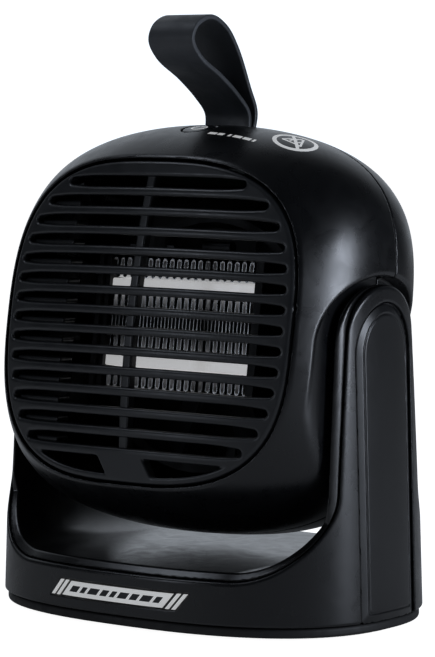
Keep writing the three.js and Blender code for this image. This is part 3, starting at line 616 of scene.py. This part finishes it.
def gradient(field, points, step=0.02):
    """Slope of a field at each point."""
    x, y, z = points.T
    ahead = [field(x + step, y, z), field(x, y + step, z), field(x, y, z + step)]
    behind = [field(x - step, y, z), field(x, y - step, z), field(x, y, z - step)]
    return np.stack([(a - b) / (2 * step) for a, b in zip(ahead, behind)], axis=1)


def sampled(field, low, high, step):
    """Field on a grid, worked out in full only in the blocks near its surface."""
    counts = [int(math.ceil((h - l) / step / BLOCK)) for l, h in zip(low, high)]
    axes = [l + step * np.arange(c * BLOCK) for l, c in zip(low, counts)]
    middles = np.meshgrid(*[a.reshape(-1, BLOCK).mean(1) for a in axes], indexing="ij")
    at_middle = field(*middles)
    far = BLOCK * step
    values = np.where(at_middle > 0, far, -far).astype(np.float32)
    for axis in range(3):
        values = values.repeat(BLOCK, axis)
    shape = [n for c in counts for n in (c, BLOCK)]
    blocks = values.reshape(shape).transpose(0, 2, 4, 1, 3, 5)
    block_reach = math.sqrt(3) * (BLOCK / 2 + 1) * step
    near = np.argwhere(np.abs(at_middle) < 1.5 * block_reach)
    split = [a.reshape(-1, BLOCK) for a in axes]
    for part in np.array_split(near, max(1, len(near) // BLOCKS_AT_ONCE)):
        i, j, k = part.T
        x = split[0][i][:, :, None, None]
        y = split[1][j][:, None, :, None]
        z = split[2][k][:, None, None, :]
        blocks[i, j, k] = np.clip(field(x, y, z), -far, far)
    return values, far


def decimated(name, points, faces, target):
    """Fewer triangles, kept where the surface bends most."""
    mesh = bpy.data.meshes.new(name)
    mesh.from_pydata(points.tolist(), [], faces.tolist())
    holder = bpy.data.objects.new(name, mesh)
    bpy.context.scene.collection.objects.link(holder)
    modifier = holder.modifiers.new("fewer", "DECIMATE")
    modifier.ratio = target / (2 * len(faces))
    depsgraph = bpy.context.evaluated_depsgraph_get()
    thinned = bpy.data.meshes.new_from_object(holder.evaluated_get(depsgraph))
    kept = np.zeros(len(thinned.vertices) * 3)
    thinned.vertices.foreach_get("co", kept)
    polygons = [tuple(p.vertices) for p in thinned.polygons]
    bpy.data.objects.remove(holder)
    return kept.reshape(-1, 3), polygons


def settled(field, points, step):
    """Points moved onto the zero level of a field."""
    for _ in range(3):
        slope = gradient(field, points)
        steepness = np.maximum((slope**2).sum(1), 0.05)
        shift = (field(*points.T) / steepness)[:, None] * slope
        length = np.linalg.norm(shift, axis=1)[:, None]
        points = points - shift * np.minimum(1, 0.5 * step / np.maximum(length, 1e-9))
    return points


def carved(name, field, low, high, step, material, head=False, limit=180000):
    """Mesh on the zero level of a field, with normals taken from the field."""
    values, far = sampled(field, low, high, step)
    grid = openvdb.FloatGrid(far)
    grid.copyFromArray(values)
    points, _, quads = grid.convertToPolygons(isovalue=0, adaptivity=0)
    points = points.astype(float) * step + np.array(low)
    faces = quads[:, ::-1].astype(int)
    if 2 * len(faces) > limit:
        points, faces = decimated(name, points, faces, limit)
    else:
        faces = faces.tolist()
    points = settled(field, points, step)
    slope = gradient(field, points)
    normals = slope / np.maximum(np.linalg.norm(slope, axis=1), 1e-6)[:, None]
    a, b, c = [points[[f[n] for f in faces]] for n in range(3)]
    outward = np.einsum("ij,ij->i", np.cross(b - a, c - a), normals[[f[0] for f in faces]])
    if np.median(outward) < 0:
        faces = [f[::-1] for f in faces]
    mesh = mesh_of(name, points, faces, head, normals)
    print(f"{name}: {len(faces)} faces")
    return add_object(name, mesh, material)


def lofted(name, rings, material, head=False, closed=False):
    """Skin over rings of points; the ends are capped unless it closes on itself."""
    count = len(rings[0])
    total = len(rings)
    faces = []
    for r in range(total if closed else total - 1):
        low = r * count
        high = (r + 1) % total * count
        for i in range(count):
            j = (i + 1) % count
            faces.append((low + i, low + j, high + j, high + i))
    if not closed:
        faces.append(tuple(range(count))[::-1])
        faces.append(tuple(range((total - 1) * count, total * count)))
    mesh = mesh_of(name, np.concatenate(rings), faces, head)
    return add_object(name, mesh, material)


def crisp(piece, angle=35):
    """Sharp shading over edges steeper than an angle."""
    piece.data.set_sharp_from_angle(angle=math.radians(angle))
    return piece


def turned_part(name, profile, centre, axis, material, closed=False, segments=48):
    """Lathe part: profile of (radius, along) about an axis through the centre; closed round a bore."""
    angles = 2 * math.pi * np.arange(segments) / segments
    rings = []
    for radius, along in profile:
        u = radius * np.cos(angles)
        v = radius * np.sin(angles)
        w = np.full(segments, float(along))
        order = {"y": (v, w, u), "z": (u, v, w)}[axis]
        rings.append(np.stack(order, axis=1) + np.array(centre, float))
    return crisp(lofted(name, rings, material, closed=closed))


def round_rectangle(reach_u, reach_v, radius, count):
    """Corner arcs of a radius, `count` points each, about centres at the reaches."""
    points = []
    for side_u, side_v, quarter in ((1, 1, 0), (-1, 1, 1), (-1, -1, 2), (1, -1, 3)):
        for turn in np.linspace(0, math.pi / 2, count):
            angle = turn + quarter * math.pi / 2
            u = side_u * reach_u + radius * math.cos(angle)
            v = side_v * reach_v + radius * math.sin(angle)
            points.append((u, v))
    return points


def rounded_block(name, low, high, radius, material, head=False):
    """Block with round edges, lofted from rounded rectangles."""
    low = np.array(low, float)
    high = np.array(high, float)
    middle = (low + high) / 2
    half = (high - low) / 2
    turns = np.linspace(math.pi / 2, 0, 4)
    levels = [(-half[2] + radius * (1 - math.sin(t)), radius * math.cos(t)) for t in turns]
    levels = levels + [(-z, corner) for z, corner in levels[::-1]]
    rings = []
    for z, corner in levels:
        outline = round_rectangle(half[0] - radius, half[1] - radius, corner, 4)
        rings.append(np.array([(u, v, z) for u, v in outline]) + middle)
    return lofted(name, rings, material, head)


# ---- Materials ----

BROAD_NOISE = (26, 5, 0.6)
SMEAR_NOISE = (95, 6, 1.5)
GRAIN_HEIGHT = 0.0001
WEAR_HEIGHT = 0.0006


def procedural(name, colors, roughness, metallic=0.0, grain=(1500, 0.1), wear=0.25, glow=0.0):
    """Colour, roughness and relief vary over the surface.

    colors: two linear colours mixed by a broad noise. roughness: low and high.
    grain: size (per metre) and strength of the fine relief. glow: painted light, how strongly the surface
    gives out its own colour as light, though it is no lamp.
    """
    material = bpy.data.materials.new(name)
    material.use_nodes = True
    nodes = material.node_tree.nodes
    links = material.node_tree.links
    shader = nodes["Principled BSDF"]
    place = nodes.new("ShaderNodeTexCoord")

    def noise(scale, detail, distortion=0.0):
        node = nodes.new("ShaderNodeTexNoise")
        node.inputs["Scale"].default_value = scale
        node.inputs["Detail"].default_value = detail
        node.inputs["Distortion"].default_value = distortion
        links.new(place.outputs["Object"], node.inputs["Vector"])
        return node.outputs["Fac"]

    def spread(source, low, high, start=0.35, end=0.65):
        node = nodes.new("ShaderNodeMapRange")
        node.inputs["From Min"].default_value = start
        node.inputs["From Max"].default_value = end
        node.inputs["To Min"].default_value = low
        node.inputs["To Max"].default_value = high
        links.new(source, node.inputs["Value"])
        return node.outputs["Result"]

    def bump(height, strength, distance):
        node = nodes.new("ShaderNodeBump")
        node.inputs["Strength"].default_value = strength
        node.inputs["Distance"].default_value = distance
        links.new(height, node.inputs["Height"])
        return node

    tint = nodes.new("ShaderNodeMix")
    tint.data_type = "RGBA"
    tint.inputs["A"].default_value = (*colors[0], 1)
    tint.inputs["B"].default_value = (*colors[1], 1)
    links.new(spread(noise(*BROAD_NOISE), 0, 1), tint.inputs["Factor"])
    links.new(tint.outputs["Result"], shader.inputs["Base Color"])
    smear = noise(*SMEAR_NOISE)
    links.new(spread(smear, *roughness), shader.inputs["Roughness"])
    relief = bump(noise(grain[0], 3), grain[1], GRAIN_HEIGHT)
    soft = bump(smear, wear * 0.1, WEAR_HEIGHT)
    links.new(relief.outputs["Normal"], soft.inputs["Normal"])
    links.new(soft.outputs["Normal"], shader.inputs["Normal"])
    shader.inputs["Metallic"].default_value = metallic
    # Painted light: the surface gives out its own colour as light, as strong as glow.
    links.new(tint.outputs["Result"], shader.inputs["Emission Color"])
    shader.inputs["Emission Strength"].default_value = glow
    return material


SATIN_TONES = [(0.0026, 0.0029, 0.0036), (0.0038, 0.0041, 0.005)]
TROUGH_TONES = [(0.003, 0.003, 0.0034), (0.0048, 0.0048, 0.0052)]
# Grille tones: its own dark grey, lightened with a painted sheen that stands in for the reflections on the
# bars.
GRILLE_TONES_WITH_PAINTED_SHEEN = [(0.011, 0.012, 0.0138), (0.0165, 0.0175, 0.0195)]
INNER_TONES = [(0.003, 0.003, 0.0033), (0.005, 0.005, 0.0055)]
LEATHER_TONES = [(0.028, 0.031, 0.035), (0.05, 0.054, 0.061)]
ALUMINIUM_TONES = [(0.55, 0.56, 0.57), (0.7, 0.7, 0.71)]
CERAMIC_TONES = [(0.86, 0.86, 0.87), (0.95, 0.95, 0.95)]
STEEL_TONES = [(0.38, 0.39, 0.4), (0.55, 0.56, 0.58)]
# Dark steel: painted shade, standing for the rib's shadow down the middle of the element.
SHADE_PAINTED_STEEL_TONES = [(0.03, 0.03, 0.032), (0.06, 0.06, 0.063)]
RUBBER_TONES = [(0.009, 0.009, 0.009), (0.016, 0.016, 0.016)]
NYLON_TONES = [(0.5, 0.48, 0.43), (0.56, 0.54, 0.5)]
BOARD_TONES = [(0.006, 0.02, 0.012), (0.01, 0.03, 0.018)]
WHITE_TONES = [(0.74, 0.74, 0.73), (0.84, 0.84, 0.83)]
DARK_PRINT_TONES = [(0.012, 0.012, 0.013), (0.02, 0.02, 0.021)]

SATIN = procedural("satin_black", SATIN_TONES, (0.26, 0.33), grain=(1900, 0.04))
TROUGH = procedural("satin_black_trough", TROUGH_TONES, (0.2, 0.27), grain=(1900, 0.03))
COVER = procedural("satin_black_cover", SATIN_TONES, (0.3, 0.37), grain=(1700, 0.06))
GRILLE_BLACK = procedural("grille_black", GRILLE_TONES_WITH_PAINTED_SHEEN, (0.3, 0.4), grain=(2100, 0.05))
INNER_BLACK = procedural("inner_black", INNER_TONES, (0.55, 0.7), grain=(1300, 0.12))
LEATHER = procedural("strap_leather", LEATHER_TONES, (0.42, 0.58), grain=(520, 0.9), wear=1.6)
ALUMINIUM = procedural("aluminium", ALUMINIUM_TONES, (0.26, 0.42), metallic=1.0, grain=(900, 0.2))
# Painted light: the ceramic bars glow at 0.4, brighter than the lamps make them.
CERAMIC_PAINTED_GLOW = procedural("ceramic_case_painted_glow", CERAMIC_TONES, (0.3, 0.45), metallic=0.1, grain=(700, 0.2), glow=0.4)
STEEL = procedural("steel", STEEL_TONES, (0.24, 0.4), metallic=1.0, grain=(1400, 0.15))
SHADE_PAINTED_STEEL = procedural("steel_painted_shade", SHADE_PAINTED_STEEL_TONES, (0.4, 0.6), metallic=1.0, grain=(1400, 0.15))
RUBBER = procedural("rubber", RUBBER_TONES, (0.7, 0.9), grain=(1000, 0.3))
NYLON = procedural("nylon", NYLON_TONES, (0.45, 0.6), grain=(1200, 0.1))
BOARD = procedural("board", BOARD_TONES, (0.3, 0.45), grain=(900, 0.15))
# Painted light: the white print also glows at 0.38, brighter than the lamps make it.
WHITE = procedural("white_print", WHITE_TONES, (0.38, 0.52), grain=(1600, 0.06), glow=0.38)
DARK_PRINT = procedural("dark_print", DARK_PRINT_TONES, (0.4, 0.55), grain=(1600, 0.06))

CAD_MATERIALS = {
    "satin_black": SATIN,
    "inner_black": INNER_BLACK,
    "grille_black": GRILLE_BLACK,
    "white_print": WHITE,
    "rubber": RUBBER,
    "nylon": NYLON,
    "aluminium": ALUMINIUM,
    "steel": STEEL,
    "board": BOARD,
    "strap_leather": LEATHER,
}
for subpart in frame["record"]["subparts"]:
    node = frame["nodes"][subpart["node"]]
    node.data.materials.clear()
    node.data.materials.append(CAD_MATERIALS[subpart["material_slot"]])
# Painted shade: the thermal fuse and cutout are darkened to stand for the rib's shadow down the middle of
# the element.
for name in ("thermal_fuse", "thermal_cutout"):
    frame["nodes"][name].data.materials[0] = SHADE_PAINTED_STEEL


def place(piece, body, slot, *nodes):
    """Puts a piece on a body, in the place of the CAD nodes it stands for."""
    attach(piece, body)
    if nodes:
        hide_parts(*nodes)
    return piece


# ---- Stand ----

stand_body = carved("stand_body", stand_shell_field, (-82, -57, 2), (82, 57, 123), 0.62, SATIN)
place(stand_body, "stand", "satin_black", "stand_shell")
cradle_trough = carved("cradle_trough", cradle_field, (-76, -56, 17), (76, 56, 123), 0.62, TROUGH)
place(cradle_trough, "stand", "satin_black", "cradle")
for label, low_x, high_x in (("left", -81.5, -72), ("right", 72, 81.5)):
    cover = carved(f"arm_cover_{label}", cover_field, (low_x, -19, 4), (high_x, 19, 117), 0.42, COVER)
    place(cover, "stand", "satin_black", f"side_cover_{label}")
base_tray = carved("base_tray", base_plate_field, (-81, -56, 0), (81, 56, 6), 0.5, INNER_BLACK)
place(base_tray, "stand", "inner_black", "base_plate")


def front_of_base(x, z, proud):
    """Depth of the base's front skin at a point, pushed out by `proud`."""
    half_x = STAND_HALF_WIDTH - STAND_DRAFT * z + proud
    half_y = STAND_HALF_DEPTH - STAND_DRAFT * z + proud
    return -half_y * (1 - (np.abs(x) / half_x) ** STAND_POWER) ** (1 / STAND_POWER)


def base_print(name, span, half_height, proud, thickness, material, steps):
    """Slanting strip wrapped on the front of the base; `span` is its left and right at mid height."""
    low = BADGE_Z - half_height
    high = BADGE_Z + half_height
    back = proud - thickness
    rings = []
    for middle in np.linspace(*span, steps + 1):
        ring = []
        for z, out in ((low, proud), (high, proud), (high, back), (low, back)):
            x = middle + (z - BADGE_Z) * BADGE_LEAN
            ring.append((x, front_of_base(x, z, out), z))
        rings.append(np.array(ring))
    return crisp(lofted(name, rings, material))


plate_span = (-PLATE_HALF[0], PLATE_HALF[0])
plate = base_print("badge_plate", plate_span, PLATE_HALF[1], *PLATE_LAYER, WHITE, 24)
place(plate, "stand", "white_print", "badge")
for side, letter in ((-1, "l"), (1, "r")):
    for n, start in enumerate(STRIPE_STARTS):
        span = sorted((side * start, side * (start + STRIPE_WIDTH)))
        stripe = base_print(f"badge_stripe_{n + 1}_{letter}", span, BADGE_HALF[1], *PLATE_LAYER, WHITE, 2)
        place(stripe, "stand", "white_print")
dash_left = DASH_LEFT
for n, width in enumerate(DASH_WIDTHS):
    span = (dash_left, dash_left + width)
    dash = base_print(f"badge_dash_{n + 1}", span, DASH_HALF_HEIGHT, *DASH_LAYER, DARK_PRINT, 4)
    place(dash, "stand", "white_print")
    dash_left += width + DASH_SPACE

for n, (foot_x, foot_y) in enumerate(FOOT_PLACES):
    foot = turned_part(f"foot_pad_{n + 1}", FOOT_PROFILE, (foot_x, foot_y, 0), "z", RUBBER)
    place(foot, "stand", "rubber", f"foot_{n + 1}")

bush_back = STAND_HALF_DEPTH - STAND_DRAFT * BUSH_Z
bush = turned_part("cord_bush", BUSH_PROFILE, (0, bush_back, BUSH_Z), "y", RUBBER, closed=True)
place(bush, "stand", "rubber", "cord_gland")

# ---- Head ----

head_front = carved("head_front", front_shell_field, (-79, -50, -70), (79, 4, 80), 0.6, SATIN, head=True)
place(head_front, "head", "satin_black", "front_shell")
head_rear = carved("head_rear", rear_shell_field, (-79, 1, -70), (79, 48, 81), 0.66, SATIN, head=True)
place(head_rear, "head", "satin_black", "rear_shell")
louvres = carved("louvres", grille_field, (-65, -49, -54), (65, -27, 63), 0.45, GRILLE_BLACK, head=True)
place(louvres, "head", "grille_black", "front_grille")


def band_along(line, half_width, closed=False):
    """Both edges of a band of even width along a line in a plane."""
    along = np.roll(line, -1, 0) - np.roll(line, 1, 0) if closed else np.gradient(line, axis=0)
    along /= np.linalg.norm(along, axis=1)[:, None]
    across = np.stack([-along[:, 1], along[:, 0]], axis=1) * half_width
    return line + across, line - across


def fin_line(base, height):
    """Middle of a zigzag foil with round turns, as (x, z)."""
    pitch = 2 * ELEMENT_HALF_WIDTH / FIN_LOOPS
    radius = pitch / 4
    line = []
    for half_loop in range(2 * FIN_LOOPS):
        x = -ELEMENT_HALF_WIDTH + (half_loop + 0.5) * pitch / 2
        upward = half_loop % 2 == 0
        centre_z = base + height - radius - FOIL / 2 if upward else base + radius + FOIL / 2
        jitter = rng.uniform(-FOIL_JITTER, FOIL_JITTER)
        for t in np.linspace(0, math.pi, 7):
            rise = math.sin(t) * radius
            line.append((x - radius * math.cos(t) + jitter, centre_z + (rise if upward else -rise)))
    return np.array(line)


def fin_pack(name, base, height):
    """Folded foil, run from front to back."""
    upper, lower = band_along(fin_line(base, height), FOIL / 2)
    rings = []
    for (ux, uz), (lx, lz) in zip(upper, lower):
        over = [(ux, ELEMENT_FRONT, uz), (ux, ELEMENT_BACK, uz)]
        under = [(lx, ELEMENT_BACK, lz), (lx, ELEMENT_FRONT, lz)]
        rings.append(np.array(over + under))
    return crisp(lofted(name, rings, ALUMINIUM, head=True), 50)


layer_top = ELEMENT_TOP
made = {"fin": 0, "bar": 0}
for kind in ELEMENT_LAYERS:
    height = LAYER_HEIGHT[kind]
    base = layer_top - height
    made[kind] += 1
    if kind == "fin":
        layer = fin_pack(f"fins_{made[kind]}", base, height)
        place(layer, "head", "aluminium", f"fin_pack_{made[kind]}")
    else:
        low = (-ELEMENT_HALF_WIDTH, ELEMENT_FRONT, base)
        high = (ELEMENT_HALF_WIDTH, ELEMENT_BACK, layer_top)
        layer = rounded_block(f"ceramic_{made[kind]}", low, high, ROUND["ceramic"], CERAMIC_PAINTED_GLOW, head=True)
        place(layer, "head", "aluminium", f"ceramic_bar_{made[kind]}")
    layer_top = base - LAYER_GAP

button_cap = carved("button_cap", button_field, (-7, -26, 68), (8, -11, 79), 0.3, SATIN, head=True)
place(button_cap, "button", "satin_black", "power_button")


def dome_height(x, y):
    """Height of the head's skin over a point, by bisection."""
    low = DOME_FROM_Z
    high = HEAD_UP + 1
    for _ in range(HALVINGS):
        middle = (low + high) / 2
        if front_field(np.array(x), np.array(y), np.array(middle)) < 0:
            low = middle
        else:
            high = middle
    return low


def printed(name, path, half_width, body="head", closed=False, nodes=()):
    """Thin line of even width printed on the dome, or on the button a little below it."""
    lift = PRINT_LIFT if body == "head" else BUTTON_PRINT_LIFT
    left_edge, right_edge = band_along(np.array(path, float), half_width, closed)
    rings = []
    for left, right in zip(left_edge, right_edge):
        left_z = dome_height(*left)
        right_z = dome_height(*right)
        top = [(*right, right_z + lift), (*left, left_z + lift)]
        bottom = [(*left, left_z - PRINT_DEPTH), (*right, right_z - PRINT_DEPTH)]
        rings.append(np.array(top + bottom))
    line = crisp(lofted(name, rings, WHITE, head=True, closed=closed))
    place(line, body, "white_print", *nodes)


def arc(centre, radius, start, end, count, closed=False):
    """Points round a centre."""
    angles = np.linspace(start, end, count, endpoint=not closed)
    return [(centre[0] + radius * math.cos(a), centre[1] + radius * math.sin(a)) for a in angles]


def stretch(start, end, count=12):
    """Points along a straight line."""
    return np.linspace(start, end, count)


printed("button_mark", arc(BUTTON, BUTTON_MARK_RADIUS, *BUTTON_MARK_TURN, 40), BUTTON_LINE, "button")
stroke = [(BUTTON[0], BUTTON[1] + reach) for reach in BUTTON_STROKE]
printed("button_stroke", stretch(*stroke), BUTTON_LINE, "button")

ring_line = arc(SIGN, SIGN_RING_RADIUS, 0, 2 * math.pi, 64, closed=True)
printed("sign_ring", ring_line, SIGN_RING_LINE, closed=True, nodes=("warning_symbol",))
slant = SIGN_BAR_RADIUS * math.sqrt(0.5)
bar_line = stretch((SIGN[0] - slant, SIGN[1] + slant), (SIGN[0] + slant, SIGN[1] - slant), 16)
printed("sign_bar", bar_line, SIGN_BAR_LINE)
tips = []
for turn in (0, 2.094, 4.189):
    tips.append((SIGN[0] + SIGN_TIP_RADIUS * math.sin(turn), SIGN[1] + SIGN_TIP_RADIUS * math.cos(turn)))
for n in range(3):
    printed(f"sign_side_{n + 1}", stretch(tips[n], tips[(n + 1) % 3]), SIGN_SIDE_LINE)
for n, offset in enumerate(SIGN_TICK_X):
    tick = [(SIGN[0] + offset, SIGN[1] + y) for y in SIGN_TICK_Y]
    printed(f"sign_tick_{n + 1}", stretch(*tick), SIGN_TICK_LINE)
for n, (left, width) in enumerate(DOME_DASHES):
    dash = stretch((left, DOME_DASH_Y), (left + width, DOME_DASH_Y))
    printed(f"dome_dash_{n + 1}", dash, DOME_DASH_LINE)


def smooth_line(controls, count):
    """Centripetal Catmull-Rom line through the controls."""
    points = np.array(controls, float)
    ends = [2 * points[0] - points[1], *points, 2 * points[-1] - points[-2]]
    line = []
    for p0, p1, p2, p3 in zip(ends, ends[1:], ends[2:], ends[3:]):
        t0 = 0.0
        t1 = t0 + math.sqrt(np.linalg.norm(p1 - p0))
        t2 = t1 + math.sqrt(np.linalg.norm(p2 - p1))
        t3 = t2 + math.sqrt(np.linalg.norm(p3 - p2))
        for t in np.linspace(t1, t2, count, endpoint=False):
            a1 = (t1 - t) / (t1 - t0) * p0 + (t - t0) / (t1 - t0) * p1
            a2 = (t2 - t) / (t2 - t1) * p1 + (t - t1) / (t2 - t1) * p2
            a3 = (t3 - t) / (t3 - t2) * p2 + (t - t2) / (t3 - t2) * p3
            b1 = (t2 - t) / (t2 - t0) * a1 + (t - t0) / (t2 - t0) * a2
            b2 = (t3 - t) / (t3 - t1) * a2 + (t - t1) / (t3 - t1) * a3
            line.append((t2 - t) / (t2 - t1) * b1 + (t - t1) / (t2 - t1) * b2)
    line.append(points[-1])
    return np.array(line)


def strap_band():
    """Leather strap: a round-edged band bent back on itself."""
    line = smooth_line(STRAP_LINE, 12)
    along = np.gradient(line, axis=0)
    along /= np.linalg.norm(along, axis=1)[:, None]
    section = round_rectangle(STRAP_HALF_WIDTH - STRAP_EDGE, STRAP_THICKNESS / 2 - STRAP_EDGE, STRAP_EDGE, 5)
    rings = []
    for (y, z), (dy, dz) in zip(line, along):
        rings.append(np.array([(u, y - dz * v, z + dy * v) for u, v in section]))
    return lofted("leather_loop", rings, LEATHER, head=True)


loop = strap_band()
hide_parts("strap")
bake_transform(loop)

# ---- Studio: white to the camera, dim to everything else, so that the black stays black ----

FLOOR_HALF = 6.0
FLOOR_LIGHT = (0.06, 0.97)
SKY_COLOR = (0.84, 0.91, 1, 1)
SKY_TO_CAMERA = 1.3
BRIGHT_SIDE = (-0.61, 0.78, 0.1)
BRIGHT_SIDE_EDGE = (0.55, 0.95)
SKY_LIGHT = (0.035, 0.68)
LIGHT_COLOR = (0.8, 0.87, 1.0)
LIGHT_TARGET = (0, 0, 0.1)

scene = bpy.context.scene
scene.view_settings.view_transform = "Standard"
scene.view_settings.look = "None"
scene.view_settings.exposure = 0.0


def camera_mix(tree, low, high):
    """A value that is `high` where the camera looks straight at it and `low` for everything else."""
    rays = tree.nodes.new("ShaderNodeLightPath")
    mix = tree.nodes.new("ShaderNodeMapRange")
    mix.inputs["To Min"].default_value = low
    mix.inputs["To Max"].default_value = high
    tree.links.new(rays.outputs["Is Camera Ray"], mix.inputs["Value"])
    return mix.outputs["Result"]


floor_mesh = bpy.data.meshes.new("floor")
floor_corners = [(FLOOR_HALF * u, FLOOR_HALF * v, 0) for u, v in ((-1, -1), (1, -1), (1, 1), (-1, 1))]
floor_mesh.from_pydata(floor_corners, [], [(0, 1, 2, 3)])
floor_material = bpy.data.materials.new("floor_paper")
floor_material.use_nodes = True
floor_tree = floor_material.node_tree
floor_shader = floor_tree.nodes["Principled BSDF"]
floor_shader.inputs["Base Color"].default_value = (0.9, 0.9, 0.9, 1)
floor_shader.inputs["Roughness"].default_value = 0.8
floor_shader.inputs["Emission Color"].default_value = (1, 1, 1, 1)
floor_tree.links.new(camera_mix(floor_tree, *FLOOR_LIGHT), floor_shader.inputs["Emission Strength"])
floor = add_object("floor", floor_mesh, floor_material)

world = bpy.data.worlds.new("studio")
scene.world = world
world.use_nodes = True
world_tree = world.node_tree
sky = world_tree.nodes["Background"]
sky.inputs["Color"].default_value = SKY_COLOR
direction = world_tree.nodes.new("ShaderNodeTexCoord")
toward_rear = world_tree.nodes.new("ShaderNodeVectorMath")
toward_rear.operation = "DOT_PRODUCT"
toward_rear.inputs[1].default_value = BRIGHT_SIDE
world_tree.links.new(direction.outputs["Generated"], toward_rear.inputs[0])
glow = world_tree.nodes.new("ShaderNodeMapRange")
glow.interpolation_type = "SMOOTHSTEP"
glow.inputs["From Min"].default_value = BRIGHT_SIDE_EDGE[0]
glow.inputs["From Max"].default_value = BRIGHT_SIDE_EDGE[1]
glow.inputs["To Min"].default_value = SKY_LIGHT[0]
glow.inputs["To Max"].default_value = SKY_LIGHT[1]
world_tree.links.new(toward_rear.outputs["Value"], glow.inputs["Value"])
brighter = world_tree.nodes.new("ShaderNodeMath")
brighter.operation = "MAXIMUM"
world_tree.links.new(glow.outputs["Result"], brighter.inputs[0])
world_tree.links.new(camera_mix(world_tree, 0.0, SKY_TO_CAMERA), brighter.inputs[1])
world_tree.links.new(brighter.outputs["Value"], sky.inputs["Strength"])


def outward_direction(azimuth, elevation):
    """Unit vector from the heater; azimuth 0 is in front of it, 90 degrees to its right."""
    around = math.radians(azimuth)
    above = math.radians(elevation)
    flat = math.cos(above)
    return Vector((math.sin(around) * flat, -math.cos(around) * flat, math.sin(above)))


def softbox(name, azimuth, elevation, distance, width, height, power):
    """Area light aimed at the heater."""
    light = bpy.data.lights.new(name, "AREA")
    light.shape = "RECTANGLE"
    light.size = width
    light.size_y = height
    light.energy = power
    light.color = LIGHT_COLOR
    lamp = bpy.data.objects.new(name, light)
    scene.collection.objects.link(lamp)
    outward = outward_direction(azimuth, elevation)
    lamp.location = Vector(LIGHT_TARGET) + outward * distance
    lamp.rotation_euler = (-outward).to_track_quat("-Z", "Y").to_euler()


softbox("key_right", 98, 11, 1.3, 0.2, 0.55, 8.4)
softbox("top_rear", -70, 58, 1.2, 0.4, 0.4, 1.4)
softbox("front_left", -26, 14, 1.6, 0.25, 0.5, 1.7)

# ---- Camera ----

CAMERA_AZIMUTH = 37.88
CAMERA_ELEVATION = 5.28
CAMERA_DISTANCE = 1.0754
CAMERA_AIM = Vector((0, 0, 0.086))
AIM_RIGHT = 0.00243
AIM_UP = 0.01427
LENS_LENGTH = 164.2
SENSOR_WIDTH = 36

back = outward_direction(CAMERA_AZIMUTH, CAMERA_ELEVATION)
right = Vector((math.cos(math.radians(CAMERA_AZIMUTH)), math.sin(math.radians(CAMERA_AZIMUTH)), 0))
up = back.cross(right)
lens = bpy.data.cameras.new("camera")
lens.sensor_width = SENSOR_WIDTH
lens.lens = LENS_LENGTH
lens.dof.use_dof = False
camera = bpy.data.objects.new("camera", lens)
scene.collection.objects.link(camera)
camera.location = CAMERA_AIM + back * CAMERA_DISTANCE
aim = -back + right * AIM_RIGHT + up * AIM_UP
camera.rotation_euler = aim.to_track_quat("-Z", "Y").to_euler()
scene.camera = camera
